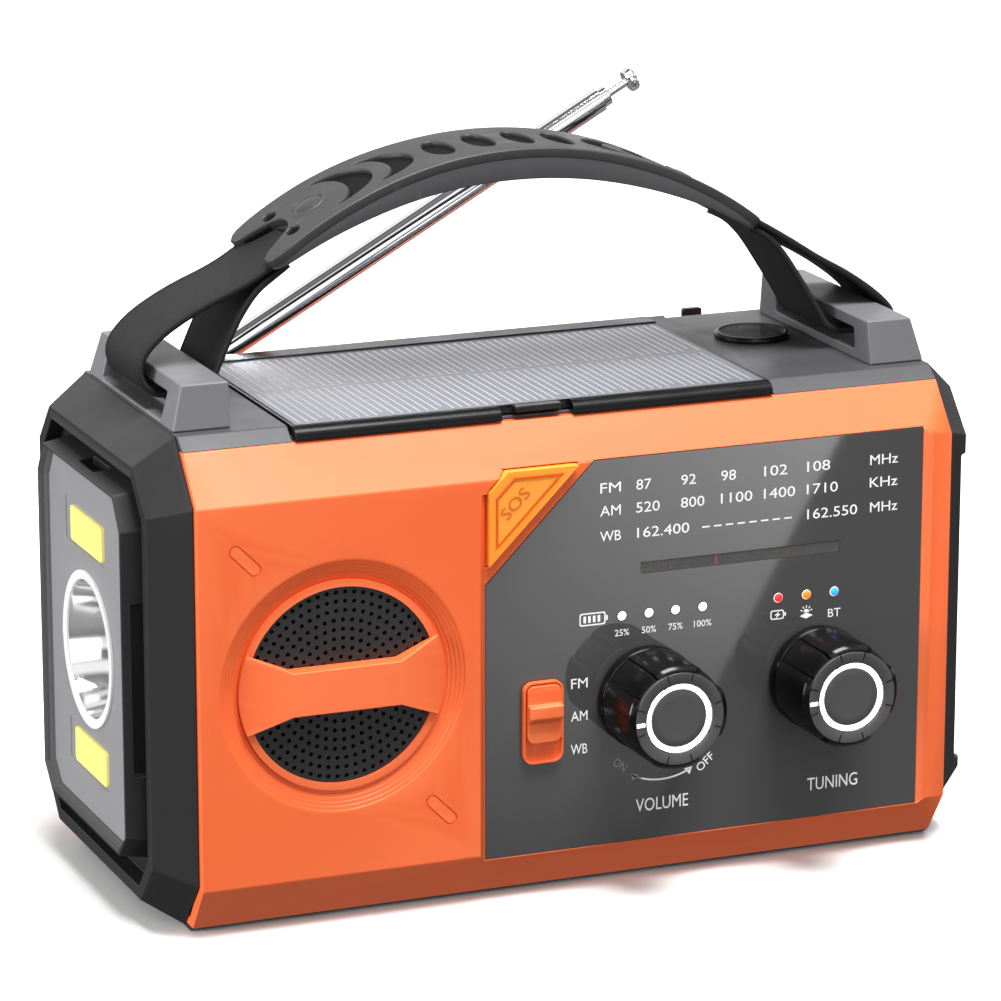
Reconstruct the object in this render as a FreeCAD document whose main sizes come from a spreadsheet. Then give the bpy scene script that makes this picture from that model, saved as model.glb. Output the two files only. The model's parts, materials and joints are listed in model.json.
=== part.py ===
"""Emergency radio: dial side at -Y, torch at the -X end, solar lid and handle on top, crank behind.

+X runs along the body and +Z is up. The origin is the centre of the underside, on the surface that
the rubber feet stand on. Every size is in millimetres, and the driving sizes are in the sheet.
"""
import FreeCAD, Part
import math
import os
import re
import Sketcher
from FreeCAD import Placement, Rotation, Vector

DIMENSIONS = {
    # body section, symmetric front to back
    "half_length": 94.7, "half_depth": 47.4, "shoulder_z": 102.8, "knee_z": 12.4,
    "shell_top_z": 114, "shell_top_y": 38.4, "shell_low_z": 1.3, "shell_low_y": 39.7,
    "wall": 3, "roof": 2.4, "cover_z": 117, "cover_y": 34.5, "base_z": 0.2, "gap": 0.1,
    # end frames: an octagon at the seam lofted to a smaller one at the end
    "seam_x": 94.9, "seam_y": 45.8, "seam_top_y": 33.5, "seam_low_y": 35,
    "left_end_x": 104.5, "right_end_x": 102.1, "end_y": 40.5, "end_top_y": 31.6, "end_low_y": 31.6,
    "end_top_z": 110.1, "end_low_z": 7, "end_shoulder_z": 100.2, "end_knee_z": 17,
    # torch end
    "lamp_x": 107.8, "lamp_y": 31.6, "lamp_top_y": 26.6, "lamp_low_y": 26, "lamp_top_z": 102.6,
    "lamp_low_z": 16.4, "lamp_shoulder_z": 95, "lamp_knee_z": 22, "torch_z": 58.8,
    "torch_rim": 18.8, "torch_radius": 16.4,
    # dial panel and what sits on it
    "panel_left": -24.6, "panel_right": 87.7, "panel_low": 10.9, "panel_high": 104.8,
    "panel_y": 46.1, "panel_seat_y": 45.3, "corner_x": 2.6, "corner_z": 77.6,
    "slot_left": 14.6, "slot_right": 66.2, "slot_low": 76.3, "slot_high": 79.1, "needle_x": 34.4,
    "knob_radius": 12.6, "knob_back_y": 46.5, "knob_front_y": 66, "volume_x": 16, "tuning_x": 60.2,
    "knob_z": 46.5, "spindle": 3, "switch_x": -10.4, "switch_z": 43.3, "led_radius": 1.1,
    # speaker
    "speaker_x": -59.8, "speaker_z": 57.8, "funnel": 30.6, "lip_radius": 25.1, "mouth": 23.4,
    "lip_y": 46.2, "funnel_depth": 2.5, "backing_y": 43, "grille_y": 45.5, "grille_hole": 0.52, "grille_pitch": 2.2,
    # solar lid and compass
    "lid_left": -67.8, "lid_right": 51.5, "lid_top": 117.3, "lid_front": 39, "lid_back": 33.6,
    "hinge_y": 35.6, "hinge_z": 116.15, "barrel": 1.15, "hinge_pin": 0.55, "tab_x": -8,
    "compass_x": 67.7, "compass_y": 7.7, "compass_radius": 9.3,
    # handle
    "anchor_out": 94.7, "anchor_in": 80.7, "anchor_top_out": 91.9, "anchor_top_in": 80.5,
    "anchor_y": 31.4, "anchor_top_y": 29.6, "anchor_top": 127.5, "slot_half": 22, "slot_floor": 119.2,
    "slot_roof": 124.4, "grip_x": -2.6, "grip_apex": 172.6, "grip_radius": 100, "grip_thick": 7.4,
    "grip_span": 38.8, "grip_half": 14.5, "strap_half": 12.5, "strap_thick": 1.6,
    # antenna
    "mast_x": -75, "mast_y": 42, "mast_z": 107, "mast_angle": 29.05, "mast_radius": 3,
    "ledge_y": 38.6, "ledge_z": 102, "ledge_left": -80, "ledge_right": 72.5, "mast_end": 133.3,
    # crank and its gear train
    "crank_x": 22, "crank_z": 56, "crank_throw": 42, "arm_back": 48, "arm_front": 54.4,
    "crank_shaft": 3, "gear_teeth": 40, "pinion_teeth": 10, "gear_low": 24, "gear_high": 28,
    # sockets, torch button, screws and feet
    "socket_x": -56, "socket_z": 26, "button_x": -60, "button_z": 84, "button_radius": 4.5,
    "screw_x": 87, "screw_low": 19, "screw_high": 95, "foot_x": 80, "foot_y": 27, "foot_radius": 6,
}

doc = FreeCAD.newDocument("EmergencyRadio")
sheet = doc.addObject("Spreadsheet::Sheet", "Dims")
for row, (alias, amount) in enumerate(DIMENSIONS.items(), 1):
    sheet.set(f"A{row}", alias)
    sheet.set(f"B{row}", str(amount))
    sheet.setAlias(f"B{row}", alias)
doc.recompute()

nodes = []
WORD = re.compile(r"[a-z][a-z_]+")
AXES = {"x": Vector(1, 0, 0), "y": Vector(0, 1, 0), "z": Vector(0, 0, 1)}
ALONG = {"x": Rotation(AXES["y"], 90), "y": Rotation(AXES["x"], -90), "z": Rotation()}
PLANES = {"yz": Rotation(Vector(1, 1, 1), 120), "xz": Rotation(AXES["x"], 90), "xy": Rotation()}
NORMALS = {"yz": "x", "xz": "y", "xy": "z"}


def linked(text):
    """An expression with every sheet alias in it turned into a reference to the sheet."""
    return WORD.sub(lambda w: f"Dims.{w[0]}" if w[0] in DIMENSIONS else w[0], str(text))


def number(text):
    """The value that an expression has now, for shapes that read the sheet in code."""
    return float(sheet.evalExpression(linked(text)))


def bind(thing, path, text):
    thing.setExpression(path, linked(text))


def block(name, x, y, z):
    """A box between a low and a high expression along each axis."""
    box = doc.addObject("Part::Box", name)
    for side, axis, (low, high) in zip(("Length", "Width", "Height"), "xyz", (x, y, z)):
        bind(box, side, f"({high}) - ({low})")
        bind(box, f"Placement.Base.{axis}", low)
    return box


def stand(thing, axis, centre, low):
    """Puts a round solid that is built along Z onto its axis, starting at low."""
    thing.Placement = Placement(Vector(), ALONG[axis])
    across = [a for a in "xyz" if a != axis]
    for place, text in zip(across + [axis], [*centre, low]):
        bind(thing, f"Placement.Base.{place}", text)


def rod(name, axis, centre, radius, low, high):
    """A cylinder along an axis; centre gives the other two coordinates in X, Y, Z order."""
    cylinder = doc.addObject("Part::Cylinder", name)
    bind(cylinder, "Radius", radius)
    bind(cylinder, "Height", f"({high}) - ({low})")
    stand(cylinder, axis, centre, low)
    return cylinder


def outline(name, plane, points):
    """A closed sketch of straight sides with both coordinates of every corner bound to the sheet."""
    sketch = doc.addObject("Sketcher::SketchObject", name)
    sketch.Placement = Placement(Vector(), PLANES[plane])
    corners = [Vector(number(u), number(v), 0) for u, v in points]
    count = len(corners)
    for i in range(count):
        sketch.addGeometry(Part.LineSegment(corners[i], corners[(i + 1) % count]))
    for i in range(count):
        sketch.addConstraint(Sketcher.Constraint("Coincident", i, 2, (i + 1) % count, 1))
    for i, texts in enumerate(points):
        for kind, here, text in zip(("DistanceX", "DistanceY"), corners[i], texts):
            index = sketch.addConstraint(Sketcher.Constraint(kind, -1, 1, i, 1, here))
            sketch.renameConstraint(index, f"{kind}{i}")
            bind(sketch, f"Constraints.{kind}{i}", text)
    return sketch


def slab(name, plane, points, low, high):
    """An outline drawn in a plane and extruded along that plane's axis from low to high."""
    axis = NORMALS[plane]
    sketch = outline(f"{name}_outline", plane, points)
    bind(sketch, f"Placement.Base.{axis}", low)
    extrusion = doc.addObject("Part::Extrusion", name)
    extrusion.Base = sketch
    extrusion.DirMode = "Custom"
    extrusion.Dir = AXES[axis]
    extrusion.Solid = True
    bind(extrusion, "LengthFwd", f"({high}) - ({low})")
    return extrusion


def turned(name, axis, centre, points):
    """A full turn of a (radius, place along the axis) outline about an axis through centre."""
    plane = "xz" if axis == "z" else "xy"
    swapped = axis == "x"
    profile = outline(f"{name}_outline", plane, [p[::-1] if swapped else p for p in points])
    turn = doc.addObject("Part::Revolution", name)
    turn.Source = profile
    turn.Axis = AXES[axis]
    turn.Angle = 360
    turn.Solid = True
    for place, text in zip([a for a in "xyz" if a != axis], centre):
        bind(profile, f"Placement.Base.{place}", text)
        bind(turn, f"Base.{place}", text)
    return turn


def fuse(name, *things):
    union = doc.addObject("Part::MultiFuse", name)
    union.Shapes = list(things)
    union.Refine = True
    return union


def group(name, *things):
    """Separate solids that share one node."""
    compound = doc.addObject("Part::Compound", name)
    compound.Links = list(things)
    return compound


def cut(name, base, *tools):
    difference = doc.addObject("Part::Cut", name)
    difference.Base = base
    difference.Tool = tools[0] if len(tools) == 1 else group(f"{name}_tools", *tools)
    return difference


def common(name, first, second):
    overlap = doc.addObject("Part::Common", name)
    overlap.Base = first
    overlap.Tool = second
    return overlap


def rounded(name, base, radius, chosen):
    """Fillets the edges of base that chosen(edge) picks."""
    doc.recompute()
    fillet = doc.addObject("Part::Fillet", name)
    fillet.Base = base
    size = number(radius)
    fillet.Edges = [(i, size, size) for i, edge in enumerate(base.Shape.Edges, 1) if chosen(edge)]
    return fillet


def made(name, shape):
    """A feature whose shape Part's own functions made from the sheet's numbers."""
    feature = doc.addObject("Part::Feature", name)
    feature.Shape = shape
    return feature


def node(label, thing):
    """Marks a finished sub-part; its label names its file."""
    thing.Label = label
    nodes.append(thing)
    return thing


def side(sign, near, far):
    """Low and high expressions of a span that lies near..far from the middle on one side."""
    return (near, far) if sign > 0 else (f"-({far})", f"-({near})")


def runs_along(axis):
    """A test for straight edges parallel to an axis."""
    return lambda edge: (isinstance(edge.Curve, Part.Line)
                         and abs(edge.Curve.Direction.dot(AXES[axis])) > 0.999)


def face_of(points):
    return Part.Face(Part.makePolygon([*points, points[0]]))


# ---- casing -----------------------------------------------------------------------------------------

def section(sign, name):
    """Half of the octagonal body tube; sign -1 is the front half and +1 the rear half."""
    def at(y):
        return f"{sign} * ({y})"
    points = [
        (at("gap"), "shell_top_z"), (at("shell_top_y"), "shell_top_z"), (at("half_depth"), "shoulder_z"),
        (at("half_depth"), "knee_z"), (at("shell_low_y"), "shell_low_z"), (at("gap"), "shell_low_z"),
        (at("gap"), "shell_low_z + roof"), (at("shell_low_y - 0.65 * wall"), "shell_low_z + roof"),
        (at("half_depth - wall"), "knee_z + 0.33 * wall"),
        (at("half_depth - wall"), "shoulder_z - 0.35 * wall"),
        (at("shell_top_y - 0.64 * wall"), "shell_top_z - roof"), (at("gap"), "shell_top_z - roof")]
    return slab(name, "yz", points, "-half_length", "half_length")


def top_opening(name, sign):
    """Clears the roof under the reading lamp and the compass."""
    low, high = side(sign, "-1", "26")
    return block(name, ("-60", "80"), (low, high), ("110", "shell_top_z + 1"))


def capsule_groove(name, x, z):
    """A shallow slanted oval groove in the front face."""
    depth, length, width, line = 0.35, 6.4, 3.2, 0.35
    rings = []
    for half in (width / 2, width / 2 - line):
        ends = [Vector(-length / 2, 0, 0), Vector(length / 2, 0, 0)]
        up = Vector(0, 0, half)
        loop = Part.Wire([
            Part.LineSegment(ends[0] + up, ends[1] + up).toShape(),
            Part.Arc(ends[1] + up, ends[1] + Vector(half, 0, 0), ends[1] - up).toShape(),
            Part.LineSegment(ends[1] - up, ends[0] - up).toShape(),
            Part.Arc(ends[0] - up, ends[0] - Vector(half, 0, 0), ends[0] + up).toShape()])
        rings.append(Part.Face(loop).extrude(Vector(0, 1, 0)))
    groove = made(name, rings[0].cut(rings[1]))
    groove.Placement = Placement(Vector(x, depth - 1 - number("half_depth"), z), Rotation(AXES["y"], 45))
    return groove


def speaker_bar(name):
    """The raised bar across the speaker's mouth, with sides that fall back to the lip."""
    rise = slab(f"{name}_rise", "xy",
                [("speaker_x - lip_radius", "-lip_y"), ("speaker_x - 13.1", "-lip_y - 3.8"),
                 ("speaker_x + 13.1", "-lip_y - 3.8"), ("speaker_x + lip_radius", "-lip_y"),
                 ("speaker_x + lip_radius", "-grille_y - gap"),
                 ("speaker_x - lip_radius", "-grille_y - gap")],
                "speaker_z - 12", "speaker_z + 12")
    waist = slab(f"{name}_waist", "xz", bar_outline(), "-lip_y - 5", "-40")
    ring = rod(f"{name}_limit", "y", ("speaker_x", "speaker_z"), "lip_radius", "-lip_y - 5", "-40")
    return common(name, common(f"{name}_blank", rise, waist), ring)


def bar_outline():
    right = [("speaker_x + 13.1", "speaker_z - 5.25"), ("speaker_x + lip_radius", "speaker_z - 10.4"),
             ("speaker_x + lip_radius", "speaker_z + 10.4"), ("speaker_x + 13.1", "speaker_z + 5.25")]
    left = [("speaker_x - 13.1", "speaker_z + 5.25"), ("speaker_x - lip_radius", "speaker_z + 10.4"),
            ("speaker_x - lip_radius", "speaker_z - 10.4"), ("speaker_x - 13.1", "speaker_z - 5.25")]
    return right + left


def funnel_cutter(name):
    """Six sloping steps down from the front face, round a lip that stands up at the mouth."""
    steps = 6
    points = [("0", "-half_depth - 1"), ("funnel", "-half_depth - 1"), ("funnel", "-half_depth")]
    for i in range(steps):
        for across, down in ((0.82, 0.41), (1, 1)):
            points.append((f"funnel - (funnel - lip_radius) * {i + across} / {steps}",
                           f"-half_depth + funnel_depth * {i + down} / {steps}"))
    points += [("lip_radius", "-lip_y"), ("0", "-lip_y")]
    return turned(name, "y", ("speaker_x", "speaker_z"), points)


def bosses(name, sign, far):
    """Screw bosses at the four corners of one shell."""
    posts = []
    for x in ("-screw_x", "screw_x"):
        for z in ("screw_low", "screw_high"):
            low, high = side(sign, "1", far)
            posts.append(rod(f"{name}_{len(posts)}", "y", (x, z), "4", low, high))
    return posts


def screw_holes(name, radius, low, high):
    return [rod(f"{name}_{i}", "y", (x, z), radius, low, high)
            for i, (x, z) in enumerate((x, z) for x in ("-screw_x", "screw_x")
                                       for z in ("screw_low", "screw_high"))]


def panel_pocket(name):
    """The pocket that holds the dial panel: sloping side walls, and one corner left standing."""
    walls = slab(f"{name}_walls", "xy",
                 [("panel_left - 1.5", "-half_depth - 1"), ("panel_left - 1.5", "-half_depth"),
                  ("panel_left", "-panel_y"), ("panel_right", "-panel_y"),
                  ("panel_right + 2", "-half_depth"), ("panel_right + 2", "-half_depth - 1")],
                 "panel_low", "panel_high")
    notch = slab(f"{name}_notch", "xz",
                 [("panel_left - 3", "99.7"), ("panel_left", "99.7"), ("-19.7", "panel_high"),
                  ("-19.7", "panel_high + 1"), ("panel_left - 3", "panel_high + 1")],
                 "-half_depth - 2", "-40")
    seat = slab(f"{name}_seat", "xz", panel_outline("0"), "-half_depth", "-panel_seat_y")
    return [cut(f"{name}_room", walls, notch), seat]


def panel_outline(inset):
    return [(f"panel_left + {inset}", f"panel_low + {inset}"),
            (f"panel_right - {inset}", f"panel_low + {inset}"),
            (f"panel_right - {inset}", f"panel_high - {inset}"),
            (f"corner_x + {inset}", f"panel_high - {inset}"),
            (f"panel_left + {inset}", f"corner_z - {inset}")]


def sos_outline(inset):
    """The corner button: a right triangle with two cut tips."""
    return [(f"-24.2 + {inset}", f"82.4 + 2.4 * {inset}"), (f"-1.9 - 2.4 * {inset}", f"104.5 - {inset}"),
            (f"-19.6 + {inset}", f"104.5 - {inset}"), (f"-24.2 + {inset}", f"99.9 - {inset}")]


LEDS = [(x, 66.6) for x in (9.9, 16.8, 23.6, 30.6, 50.2, 57.6, 64.9)]


def front_holes(name, low, high, clearance):
    """Holes that go through both the shell and the dial panel."""
    holes = [rod(f"{name}_volume", "y", ("volume_x", "knob_z"), f"spindle + {clearance}", low, high),
             rod(f"{name}_tuning", "y", ("tuning_x", "knob_z"), f"spindle + {clearance}", low, high),
             block(f"{name}_dial", ("slot_left", "slot_right"), (low, high), ("slot_low", "slot_high"))]
    holes += [rod(f"{name}_led_{i}", "y", (x, z), "led_radius + gap", low, high)
              for i, (x, z) in enumerate(LEDS)]
    return holes


def front_shell():
    shell = section(-1, "front_section")
    backing = rod("speaker_backing", "y", ("speaker_x", "speaker_z"), "funnel + 1.5",
                  "-half_depth + wall - 0.5", "-backing_y")
    body = fuse("front_body", shell, backing, *bosses("front_boss", -1, "half_depth - wall + 0.3"))
    hollow = rod("speaker_mouth", "y", ("speaker_x", "speaker_z"), "mouth", "-half_depth - 1", "-40")
    seat = rod("grille_seat", "y", ("speaker_x", "speaker_z"), "mouth + 0.8", "-grille_y", "-40")
    opened = cut("front_opened", body, funnel_cutter("speaker_funnel"), hollow, seat)
    barred = fuse("front_barred", opened, speaker_bar("speaker_bar"))
    node("front_shell", cut(
        "front_shell", barred, *panel_pocket("panel_pocket"),
        slab("sos_hole", "xz", sos_outline("-0.3"), "-half_depth - 1", "-40"),
        *front_holes("front_hole", "-half_depth", "-40", "0.6"),
        block("switch_hole", ("switch_x - 1.4", "switch_x + 1.4"), ("-half_depth", "-40"),
              ("switch_z - 3.7", "switch_z + 7")),
        *screw_holes("front_pilot", "1.55", "-20", "0"), top_opening("front_roof_opening", -1),
        capsule_groove("upper_capsule", -83.3, 90), capsule_groove("lower_capsule", -36, 25.2)))


def rear_shell():
    shell = section(1, "rear_section")
    ledge_room = slab("ledge_limit", "yz",
                      [("30", "90"), ("half_depth", "90"), ("half_depth", "shoulder_z"),
                       ("shell_top_y", "shell_top_z"), ("30", "shell_top_z")],
                      "-half_length", "half_length")
    ledge_block = block("ledge_block", ("ledge_left - 2.4", "ledge_right + 2.4"),
                        ("ledge_y - 2.4", "half_depth"), ("ledge_z - 2.4", "shell_top_z"))
    lugs = []
    for name, near, far in (("left", -17.4, -15.4), ("right", 15.4, 17.4)):
        span = (f"socket_x + {near}", f"socket_x + {far}")
        lugs.append(rod(f"flap_lug_{name}", "x", ("half_depth + 1.4", "socket_z - 7.2"), "1.4", *span))
        lugs.append(block(f"flap_lug_foot_{name}", span, ("half_depth - 0.5", "half_depth + 1.4"),
                          ("socket_z - 8.6", "socket_z - 5.8")))
    body = fuse("rear_body", shell, common("ledge_tray", ledge_block, ledge_room), *lugs,
                *bosses("rear_boss", 1, "half_depth - wall + 0.3"))
    node("rear_shell", cut(
        "rear_shell", body,
        block("ledge_cut", ("ledge_left", "ledge_right"), ("ledge_y", "half_depth + 1"),
              ("ledge_z", "shell_top_z + 1")),
        rod("crank_hole", "y", ("crank_x", "crank_z"), "crank_shaft + 0.05", "40", "half_depth + 1"),
        block("socket_window", ("socket_x - 13", "socket_x + 13"), ("40", "half_depth + 1"),
              ("socket_z - 6", "socket_z + 6")),
        rod("button_hole", "y", ("button_x", "button_z"), "button_radius + 0.3", "40", "half_depth + 1"),
        rod("flap_pin_bore", "x", ("half_depth + 1.4", "socket_z - 7.2"), "0.65", "socket_x - 20",
            "socket_x + 20"),
        *screw_holes("rear_sink", "3.3", "20", "half_depth + 1"),
        *screw_holes("rear_pass", "1.7", "0", "21"), top_opening("rear_roof_opening", 1)))


def top_cover():
    plate = slab("cover_plate", "yz",
                 [("-shell_top_y", "shell_top_z + 0.05"), ("-cover_y", "cover_z"), ("cover_y", "cover_z"),
                  ("shell_top_y", "shell_top_z + 0.05")], "-half_length", "half_length")
    room = ("lid_left - 0.5", "lid_right + 0.5")
    ears = []
    for name, low, high in (("left_ear", "lid_left - 5", "lid_left - 0.5"),
                            ("right_ear", "lid_right + 0.5", "lid_right + 5")):
        ears.append(rod(name, "x", ("hinge_y", "hinge_z"), "barrel", low, high))
        ears.append(block(f"{name}_foot", (low, high), ("hinge_y - barrel", "hinge_y + barrel - 0.1"),
                          ("shell_top_z + 0.05", "hinge_z")))
    bare = cut(
        "cover_bare", plate,
        block("lid_recess", room, ("-shell_top_y - 2", "shell_top_y + 2"), ("114.9", "cover_z + 1")),
        block("lid_lip_gap", room, ("-shell_top_y - 2", "-36.6"), ("113", "cover_z + 1")),
        block("barrel_gap", room, ("lid_back - 0.4", "shell_top_y + 2"), ("114.6", "cover_z + 1")),
        block("lamp_opening", ("-38.2", "22.2"), ("-10.2", "10.2"), ("113", "cover_z + 1")),
        rod("compass_opening", "z", ("compass_x", "compass_y"), "compass_radius - 0.7", "113", "118"))
    eared = fuse("cover_eared", bare, *ears)
    node("top_cover", cut("top_cover", eared,
                          rod("hinge_bore", "x", ("hinge_y", "hinge_z"), "hinge_pin + 0.05",
                              "lid_left - 4.5", "lid_right + 4.5")))


def base_plate():
    plate = slab("base_blank", "yz",
                 [("-shell_low_y + 0.3", "shell_low_z - 0.05"), ("-shell_low_y + 1.8", "base_z"),
                  ("shell_low_y - 1.8", "base_z"), ("shell_low_y - 0.3", "shell_low_z - 0.05")],
                 "-half_length", "half_length")
    spots = [(x, y) for x in ("-foot_x", "foot_x") for y in ("-foot_y", "foot_y")] + [("0", "0")]
    pockets = [rod(f"foot_pocket_{i}", "z", spot, "foot_radius + gap", "0", "0.75")
               for i, spot in enumerate(spots)]
    feet = [rod(f"foot_{i}", "z", spot, "foot_radius", "0", "0.7") for i, spot in enumerate(spots)]
    node("base_plate", cut("base_plate", plate, *pockets))
    node("rubber_feet", group("rubber_feet", *feet))


def octagon(name, x, y, top_y, low_y, low_z, knee_z, shoulder_z, top_z):
    """An eight-sided outline across X, symmetric front to back."""
    right = [(low_y, low_z), (y, knee_z), (y, shoulder_z), (top_y, top_z)]
    left = [(f"-({u})", v) for u, v in reversed(right)]
    sketch = outline(name, "yz", right + left)
    bind(sketch, "Placement.Base.x", x)
    return sketch


def end_octagon(name, x, inset):
    """The end octagon moved in by inset."""
    near = f"0.45 * ({inset})"
    return octagon(name, x, f"end_y - ({inset})", f"end_top_y - {near}", f"end_low_y - {near}",
                   f"end_low_z + ({inset})", f"end_knee_z + {near}", f"end_shoulder_z - {near}",
                   f"end_top_z - ({inset})")


def lamp_octagon(name, x, inset):
    near = f"0.5 * ({inset})"
    return octagon(name, x, f"lamp_y - ({inset})", f"lamp_top_y - {near}", f"lamp_low_y - {near}",
                   f"lamp_low_z + ({inset})", f"lamp_knee_z + {near}", f"lamp_shoulder_z - {near}",
                   f"lamp_top_z - ({inset})")


def prism(name, sketch, length):
    """Extrudes an outline across X by a length along +X."""
    extrusion = doc.addObject("Part::Extrusion", name)
    extrusion.Base = sketch
    extrusion.DirMode = "Custom"
    extrusion.Dir = AXES["x"]
    extrusion.Solid = True
    bind(extrusion, "LengthFwd", length)
    return extrusion


def end_loft(name, sign, end_x):
    loft = doc.addObject("Part::Loft", name)
    seam = octagon(f"{name}_seam", f"{sign} * seam_x", "seam_y", "seam_top_y", "seam_low_y", "0.8",
                   "13.2", "102.6", "cover_z")
    loft.Sections = [seam, end_octagon(f"{name}_end", f"{sign} * {end_x}", "0")]
    loft.Solid = True
    loft.Ruled = True
    return loft


def left_end_frame():
    frame = end_loft("left_loft", -1, "left_end_x")
    recess = prism("left_recess", end_octagon("left_recess_outline", "-left_end_x - 1", "3"), "5.1")
    throat = block("left_throat", ("-seam_x - 8", "-seam_x + 1"), ("-26", "26"), ("26", "94"))
    node("left_end_frame", cut("left_end_frame", frame, recess, throat))


def lamp_module():
    """The faceted lamp housing with its window, plate, torch reflector and lamps."""
    outer = doc.addObject("Part::Loft", "bezel_loft")
    outer.Sections = [lamp_octagon("bezel_root", "-100.4", "-1.2"),
                      lamp_octagon("bezel_face", "-lamp_x", "0")]
    outer.Solid = True
    outer.Ruled = True
    cavity = prism("bezel_cavity", lamp_octagon("bezel_cavity_outline", "-lamp_x - 1", "2"), "6.6")
    seat = prism("bezel_seat", lamp_octagon("bezel_seat_outline", "-lamp_x - 1", "0.7"), "2.4")
    throat = rod("bezel_throat", "x", ("0", "torch_z"), "torch_radius + 0.2", "-103", "-100")
    slots = [block("bezel_front_slot", ("-105.4", "-101.6"), ("-40", "-lamp_y + 1.3"), ("37", "78")),
             block("bezel_back_slot", ("-105.4", "-101.6"), ("lamp_y - 1.3", "40"), ("37", "78")),
             block("bezel_top_slot", ("-105.4", "-101.6"), ("-6", "6"), ("lamp_top_z - 1.2", "108"))]
    node("lamp_bezel", cut("lamp_bezel", outer, cavity, seat, throat, *slots))
    node("lamp_window", prism("lamp_window", lamp_octagon("window_outline", "-lamp_x + 0.05", "0.8"), "1.2"))
    plate = prism("plate_blank", lamp_octagon("plate_outline", "-lamp_x + 2.2", "2.1"), "1.2")
    hole = rod("plate_hole", "x", ("0", "torch_z"), "torch_radius + gap", "-lamp_x", "-100")
    pockets, lights = [], []
    for name, z in (("upper", 86.8), ("lower", 32.5)):
        pockets.append(block(f"{name}_pocket", ("-lamp_x", "-lamp_x + 2.7"), ("-13", "17"),
                             (z - 5.2, z + 5.2)))
        blank = block(f"{name}_flood", ("-lamp_x + 1.9", "-lamp_x + 2.65"), ("-12", "12"),
                      (z - 4.2, z + 4.2))
        lights.append(rounded(f"{name}_flood_light", blank, "1.2", runs_along("x")))
    node("lamp_plate", cut("lamp_plate", plate, hole, *pockets))
    back, face = "-86", "-lamp_x + 2.15"
    node("torch_reflector", turned("torch_reflector", "x", ("0", "torch_z"), [
        ("torch_radius", "-lamp_x + 3.6"), ("torch_radius", face), ("torch_rim", face),
        ("torch_rim", "-lamp_x + 1.35"), ("torch_radius - 0.6", "-lamp_x + 1.35"), ("4", back),
        ("5.2", back)]))
    torch = turned("torch_led", "x", ("0", "torch_z"), [
        ("0", "-88.2"), ("1.6", "-87.6"), ("2.4", "-85.9"), ("8", "-85.9"), ("8", "-84.3"),
        ("0", "-84.3")])
    node("lamp_leds", group("lamp_leds", torch, *lights))


def right_end():
    """The plain end: a frame with notched edges round a screwed-on battery cover."""
    frame = end_loft("right_loft", 1, "right_end_x")
    recess = prism("right_recess", end_octagon("right_recess_outline", "right_end_x - 3", "5"), "5")
    throat = block("right_throat", ("seam_x - 1", "100"), ("-26", "26"), ("26", "94"))
    notches = [block(f"right_notch_{name}", ("100.3", "105"), side(sign, "35", "45"), ("19.5", "95.5"))
               for name, sign in (("front", -1), ("back", 1))]
    node("right_end_frame", cut("right_end_frame", frame, recess, throat, *notches))
    cover = prism("right_cover_blank", end_octagon("right_cover_outline", "right_end_x - 2.95", "5.2"),
                  "1.2")
    ribs = [block(f"cover_rib_{i}", ("right_end_x - 2.3", "right_end_x + 1"), ("-14", "14"),
                  (z, z + 2)) for i, z in enumerate(range(78, 92, 4))]
    node("right_end_cover", cut("right_end_cover", cover, *ribs))


# ---- dial side --------------------------------------------------------------------------------------

def dial_panel():
    sheet_plate = slab("panel_blank", "xz", panel_outline("gap"), "-panel_y", "-panel_seat_y - 0.05")
    node("dial_panel", cut(
        "dial_panel", sheet_plate, *front_holes("panel_hole", "-half_depth", "-40", "0.6"),
        block("panel_switch_hole", ("switch_x - 1.4", "switch_x + 1.4"), ("-half_depth", "-40"),
              ("switch_z - 3.7", "switch_z + 7"))))
    node("tuning_window", block("tuning_window", ("slot_left + gap", "slot_right - gap"),
                                ("-panel_y + 0.1", "-panel_seat_y - 0.15"),
                                ("slot_low + gap", "slot_high - gap")))
    lights = [turned(f"led_{i}", "y", (x, z), [
        ("0", "-panel_y - 0.15"), ("0.7 * led_radius", "-panel_y - 0.15"), ("led_radius", "-panel_y + 0.1"),
        ("led_radius", "-36"), ("led_radius + 0.5", "-36"), ("led_radius + 0.5", "-31.7"), ("0", "-31.7")])
        for i, (x, z) in enumerate(LEDS)]
    node("indicator_leds", group("indicator_leds", *lights))


def band_switch():
    tray = block("tray_blank", ("switch_x - 5.05", "switch_x + 5.05"),
                 ("-panel_y - 1.4", "-panel_y - 0.05"), ("switch_z - 9.95", "switch_z + 9.95"))
    well = block("tray_well", ("switch_x - 4.5", "switch_x + 4.5"), ("-panel_y - 2", "-panel_y - 0.4"),
                 ("switch_z - 9.5", "switch_z + 9.5"))
    slit = block("tray_slit", ("switch_x - 1.4", "switch_x + 1.4"), ("-panel_y - 2", "-40"),
                 ("switch_z - 3.7", "switch_z + 7"))
    node("switch_bezel", cut("switch_bezel", rounded("tray_round", tray, "2.5", runs_along("y")),
                             rounded("well_round", well, "2", runs_along("y")), slit))
    plate = block("slider_plate", ("switch_x - 4.2", "switch_x + 4.2"),
                  ("-panel_y - 2.2", "-panel_y - 0.75"), ("switch_z - 4.6", "switch_z + 9.1"))
    ridge = slab("slider_ridge", "yz",
                 [("-panel_y - 2", "switch_z + 4.65"), ("-panel_y - 3.9", "switch_z + 4.65"),
                  ("-panel_y - 3.9", "switch_z + 1.55"), ("-panel_y - 2", "switch_z + 0.2")],
                 "switch_x - 4.2", "switch_x + 4.2")
    stem = block("slider_stem", ("switch_x - 1", "switch_x + 1"), ("-panel_y - 1", "-41.5"),
                 ("switch_z + 1.3", "switch_z + 6.6"))
    node("band_slider", fuse("band_slider", rounded("slider_round", plate, "1.6", runs_along("y")),
                             ridge, stem))


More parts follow.
